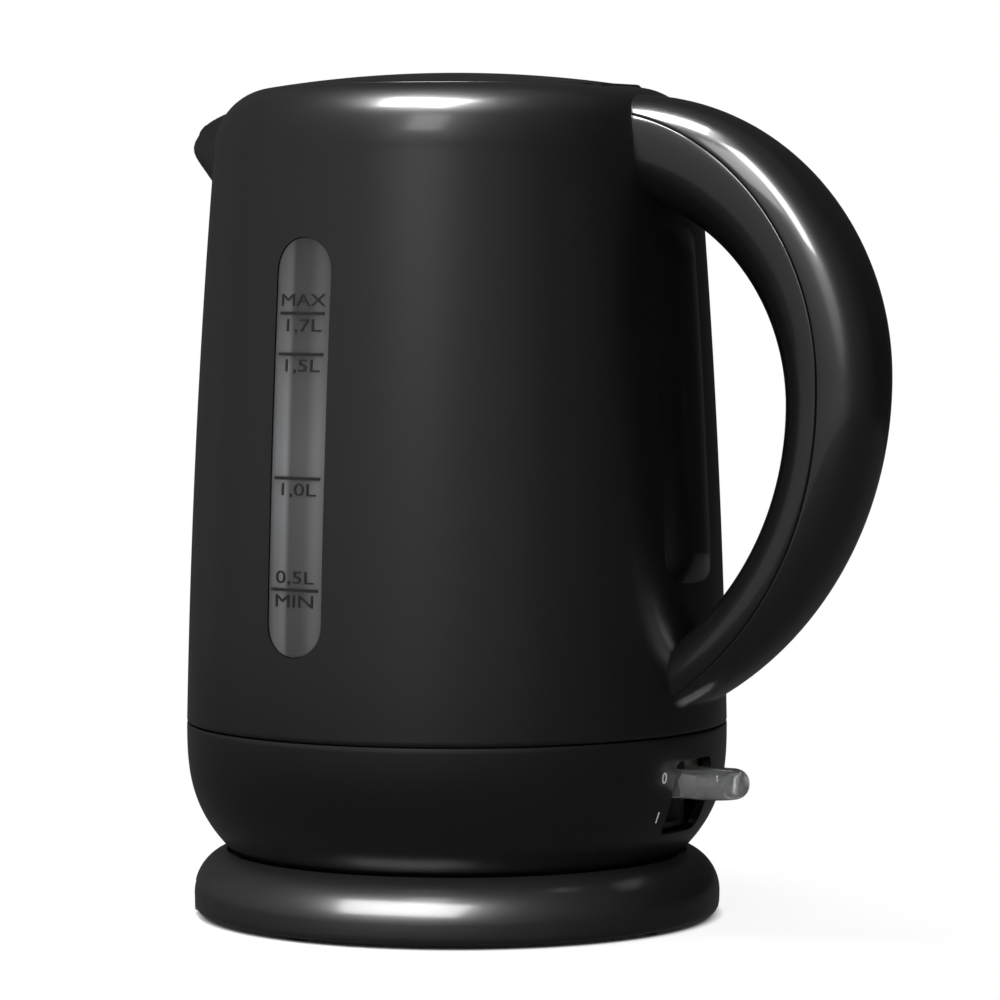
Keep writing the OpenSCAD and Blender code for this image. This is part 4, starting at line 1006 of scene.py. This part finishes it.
class KETTLE_OT_lever(bpy.types.Operator):
    """Clear lever of the switch"""
    bl_idname = "kettle.lever"
    bl_label = "Switch lever"

    def execute(self, context):
        x0, z0, reach, half_w, half_h, back, soft = 64.0, 41.0, 91.3, 8.0, 4.0, 4.2, 3.4
        tip_r = half_w + 0.6
        rings = []
        for deg in steps(-90, 90, 14):
            inset = soft * (1 - math.cos(math.radians(deg)))
            z = z0 + half_h * math.sin(math.radians(deg))
            side, r = half_w - inset, tip_r - inset
            turn = math.degrees(math.asin(side / r))
            ring = [(x0 - back + inset, -side, z)]
            ring += [(reach - tip_r + r * math.cos(math.radians(a)), r * math.sin(math.radians(a)), z)
                     for a in steps(-turn, turn, 24)]
            rings.append(ring + [(x0 - back + inset, side, z)])
        bm = bmesh.new()
        rows = [[bm.verts.new(p) for p in ring] for ring in rings]
        for low, high in zip(rows, rows[1:]):
            for i in range(len(low)):
                j = (i + 1) % len(low)
                bm.faces.new((low[i], low[j], high[j], high[i]))
        bm.faces.new(rows[0][::-1])
        bm.faces.new(rows[-1])
        bm = shaped(bm, ("DIFFERENCE", rod(2.03, (x0, -20, z0), (x0, 20, z0), 40)))
        piece("lever_blade", bm, "lever", MATERIALS["lever"], ["power_lever"], sharp=40)
        return {"FINISHED"}


class KETTLE_OT_fittings(bpy.types.Operator):
    """Finishes the fittings that keep their own solids"""
    bl_idname = "kettle.fittings"
    bl_label = "Fittings"

    def execute(self, context):
        for name, paint in NODE_PAINT.items():
            paint_node(name, paint)
        return {"FINISHED"}


# ------------------------------------------------------------------ camera and studio
CAMERA_AZIMUTH, CAMERA_FAR, CAMERA_Z = 30.3, 1.32, 0.192


def point_at(obj, target):
    obj.rotation_euler = (Vector(target) - obj.location).to_track_quat("-Z", "Y").to_euler()


def softbox(name, place, target, wide, high, power):
    data = bpy.data.lights.new(name, "AREA")
    data.shape, data.size, data.size_y, data.energy = "RECTANGLE", wide, high, power
    obj = bpy.data.objects.new(name, data)
    bpy.context.scene.collection.objects.link(obj)
    obj.location = place
    point_at(obj, target)
    return obj


def around(deg, far, z):
    """A place round the kettle: deg is measured from the camera's side, positive to the right."""
    a = math.radians(CAMERA_AZIMUTH + deg)
    return Vector((far * math.sin(a), -far * math.cos(a), z))


def azimuth_ramp(tree, stops):
    """Brightness round the kettle: stops are (degrees from the camera's side, value)."""
    coord = node(tree, "ShaderNodeTexCoord")
    turned_ = node(tree, "ShaderNodeMapping")
    turned_.inputs["Rotation"].default_value = (0, 0, math.radians(90 - CAMERA_AZIMUTH))
    radial = node(tree, "ShaderNodeTexGradient", gradient_type="RADIAL")
    ramp = node(tree, "ShaderNodeValToRGB")
    ramp.color_ramp.interpolation = "EASE"
    ends = ramp.color_ramp.elements
    for element, (deg, value) in zip((ends[0], ends[1]), (stops[0], stops[-1])):
        element.position, element.color = (deg + 180) / 360, (value, value, value, 1)
    for deg, value in stops[1:-1]:
        element = ends.new((deg + 180) / 360)
        element.color = (value, value, value, 1)
    link(tree, coord.outputs["Object"], turned_.inputs[0])
    link(tree, turned_.outputs[0], radial.inputs[0])
    link(tree, radial.outputs["Fac"], ramp.inputs[0])
    return ramp.outputs["Color"]


def largest(tree, *sockets):
    """The largest of several values."""
    best = sockets[0]
    for other in sockets[1:]:
        pick = node(tree, "ShaderNodeMath", operation="MAXIMUM")
        link(tree, best, pick.inputs[0])
        link(tree, other, pick.inputs[1])
        best = pick.outputs[0]
    return best


def times(tree, socket, factor):
    made = node(tree, "ShaderNodeMath", operation="MULTIPLY")
    link(tree, socket, made.inputs[0])
    made.inputs[1].default_value = factor
    return made.outputs[0]


GLOSS_SHARE = 0.07


def floor_finish(tint):
    """Pale floor: plain white away from the kettle, with its shadow close by."""
    mat = bpy.data.materials.new("pale_floor")
    mat.use_nodes = True
    tree = mat.node_tree
    tree.nodes.clear()
    out = node(tree, "ShaderNodeOutputMaterial")
    path = node(tree, "ShaderNodeLightPath")
    coord = node(tree, "ShaderNodeTexCoord")
    away = node(tree, "ShaderNodeVectorMath", operation="LENGTH")
    link(tree, coord.outputs["Object"], away.inputs[0])
    share = node(tree, "ShaderNodeMapRange")
    share.interpolation_type = "SMOOTHSTEP"
    for key, value in (("From Min", 0.07), ("From Max", 0.2), ("To Min", 0.9), ("To Max", 1.0)):
        share.inputs[key].default_value = value
    link(tree, away.outputs["Value"], share.inputs["Value"])
    clear = node(tree, "ShaderNodeMapRange")
    clear.inputs["From Min"].default_value, clear.inputs["From Max"].default_value = 0.0715, 0.0755
    link(tree, away.outputs["Value"], clear.inputs["Value"])
    straight = largest(tree, path.outputs["Is Camera Ray"], path.outputs["Is Transmission Ray"])
    part = node(tree, "ShaderNodeMath", operation="MULTIPLY")
    link(tree, straight, part.inputs[0])
    link(tree, share.outputs[0], part.inputs[1])
    outside = node(tree, "ShaderNodeMath", operation="MULTIPLY")
    link(tree, part.outputs[0], outside.inputs[0])
    link(tree, clear.outputs[0], outside.inputs[1])
    shader = node(tree, "ShaderNodeBsdfDiffuse")
    shader.inputs["Color"].default_value = (*tint, 1)
    glow = node(tree, "ShaderNodeEmission")
    link(tree, largest(tree, straight, times(tree, path.outputs["Is Glossy Ray"], GLOSS_SHARE)),
         glow.inputs["Strength"])
    mix = node(tree, "ShaderNodeMixShader")
    link(tree, largest(tree, outside.outputs[0], path.outputs["Is Glossy Ray"]), mix.inputs[0])
    link(tree, shader.outputs[0], mix.inputs[1])
    link(tree, glow.outputs[0], mix.inputs[2])
    link(tree, mix.outputs[0], out.inputs["Surface"])
    return mat


# how bright the studio's wall is round the kettle, as gloss shows it
SURROUND = ((-180, 0.02), (-150, 0.07), (-120, 0.16), (-90, 0.34), (-57, 0.5), (-18, 0.62), (12, 0.42),
            (44, 0.17), (75, 0.06), (95, 0.015), (180, 0.03))


def surround_finish():
    mat = bpy.data.materials.new("studio_wall")
    mat.use_nodes = True
    tree = mat.node_tree
    tree.nodes.clear()
    out = node(tree, "ShaderNodeOutputMaterial")
    glow = node(tree, "ShaderNodeEmission")
    link(tree, azimuth_ramp(tree, SURROUND), glow.inputs["Color"])
    link(tree, glow.outputs[0], out.inputs["Surface"])
    return mat


class KETTLE_OT_studio(bpy.types.Operator):
    """Camera, floor, lamps and flags"""
    bl_idname = "kettle.studio"
    bl_label = "Studio"

    def execute(self, context):
        scene = context.scene
        data = bpy.data.cameras.new("Camera")
        data.sensor_width, data.lens = 36.0, 169.2
        data.clip_start, data.clip_end = 0.05, 30
        camera = bpy.data.objects.new("Camera", data)
        scene.collection.objects.link(camera)
        scene.camera = camera
        camera.location = around(0, CAMERA_FAR, CAMERA_Z)
        right = Vector((math.cos(math.radians(CAMERA_AZIMUTH)), math.sin(math.radians(CAMERA_AZIMUTH)), 0))
        point_at(camera, right * 0.0121 + Vector((0, 0, 0.1164)))

        bm = bmesh.new()
        bmesh.ops.create_grid(bm, x_segments=1, y_segments=1, size=6)
        mesh = bpy.data.meshes.new("floor")
        bm.to_mesh(mesh)
        bm.free()
        floor = bpy.data.objects.new("floor", mesh)
        scene.collection.objects.link(floor)
        floor.data.materials.append(floor_finish(COLOURS.floor))

        world = bpy.data.worlds.new("studio")
        scene.world = world
        world.use_nodes = True
        tree = world.node_tree
        path = node(tree, "ShaderNodeLightPath")
        seen = largest(tree, path.outputs["Is Camera Ray"], path.outputs["Is Transmission Ray"])
        level = node(tree, "ShaderNodeMapRange")
        level.inputs["To Min"].default_value = 0.4
        level.inputs["To Max"].default_value = 1.0
        link(tree, seen, level.inputs["Value"])
        gloss = node(tree, "ShaderNodeMath", operation="MULTIPLY_ADD")
        link(tree, path.outputs["Is Glossy Ray"], gloss.inputs[0])
        gloss.inputs[1].default_value = -0.3
        link(tree, level.outputs[0], gloss.inputs[2])
        link(tree, gloss.outputs[0], tree.nodes["Background"].inputs["Strength"])
        tree.nodes["Background"].inputs["Color"].default_value = (1, 1, 1, 1)

        above = around(-90, 0.14, 1.03) + around(0, 0.08, 0)
        over = softbox("overhead", above, above - Vector((0, 0, 1)), 0.36, 0.3, 16)
        front = softbox("front_low", around(-25, 0.66, 0.4), around(-12, 0.07, 0.01), 0.72, 0.44, 24)
        softbox("front_tall", around(-16.3, 0.92, 0.85), (0, 0, 0.2), 0.3, 0.95, 5.5)
        strip = softbox("grip_strip", around(5, 0.85, 0.85), (0, 0, 0.2), 0.2, 1.3, 22)
        softbox("left_fill", around(-100, 1.3, 0.5), (0, 0, 0.12), 0.6, 0.9, 1.5)
        base = bpy.data.collections.new("base_only")
        for obj in bpy.data.objects:
            if obj.name in ("base_shell", "cord_inlet"):
                base.objects.link(obj)
        front.light_linking.receiver_collection = base
        rest = bpy.data.collections.new("all_but_base")
        for obj in bpy.data.objects:
            if obj.type == "MESH" and obj.name not in ("base_shell", "cord_inlet"):
                rest.objects.link(obj)
        over.light_linking.receiver_collection = rest
        grips = bpy.data.collections.new("grips_only")
        for obj in bpy.data.objects:
            if obj.name in ("grip_back", "grip_front"):
                grips.objects.link(obj)
        strip.light_linking.receiver_collection = grips

        bm = bmesh.new()
        low, high = bm.verts.new((1.0, 0, 0.0)), bm.verts.new((1.0, 0, 1.5))
        edge = bm.edges.new((low, high))
        bmesh.ops.spin(bm, geom=[low, high, edge], cent=(0, 0, 0), axis=(0, 0, 1), dvec=(0, 0, 0),
                       angle=math.radians(360), steps=90, use_merge=True, use_duplicate=False)
        mesh = bpy.data.meshes.new("studio_wall")
        bm.to_mesh(mesh)
        bm.free()
        wall = bpy.data.objects.new("studio_wall", mesh)
        scene.collection.objects.link(wall)
        wall.data.materials.append(surround_finish())
        wall.visible_camera = wall.visible_diffuse = wall.visible_shadow = False
        wall.visible_transmission = False
        scene.view_settings.view_transform = "Standard"
        return {"FINISHED"}


class KETTLE_PT_panel(bpy.types.Panel):
    """Lists the kettle's sizes, colours and groups of pieces"""
    bl_idname = "KETTLE_PT_panel"
    bl_label = "Jug Kettle"
    bl_space_type = "VIEW_3D"
    bl_region_type = "UI"
    bl_category = "Kettle"

    def draw(self, context):
        for group in (context.scene.kettle_sizes, context.scene.kettle_colours):
            box_ = self.layout.box()
            for key in group.__annotations__:
                box_.prop(group, key)
        for step in PIECE_STEPS:
            self.layout.operator(step.bl_idname)


PIECE_STEPS = (KETTLE_OT_body, KETTLE_OT_gauge, KETTLE_OT_lower, KETTLE_OT_base, KETTLE_OT_handle,
               KETTLE_OT_lid, KETTLE_OT_lever, KETTLE_OT_fittings, KETTLE_OT_studio)
CLASSES = (KETTLE_PG_sizes, KETTLE_PG_colours) + PIECE_STEPS + (KETTLE_PT_panel,)


def register():
    for cls in CLASSES:
        bpy.utils.register_class(cls)
    bpy.types.Scene.kettle_sizes = bpy.props.PointerProperty(type=KETTLE_PG_sizes)
    bpy.types.Scene.kettle_colours = bpy.props.PointerProperty(type=KETTLE_PG_colours)


def unregister():
    del bpy.types.Scene.kettle_sizes
    del bpy.types.Scene.kettle_colours
    for cls in reversed(CLASSES):
        bpy.utils.unregister_class(cls)


def main():
    global SIZES, COLOURS
    register()
    SIZES, COLOURS = bpy.context.scene.kettle_sizes, bpy.context.scene.kettle_colours
    make_materials()
    for step in PIECE_STEPS:
        group, call = step.bl_idname.split(".")
        getattr(getattr(bpy.ops, group), call)()
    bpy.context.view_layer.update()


if __name__ == "__main__":
    main()
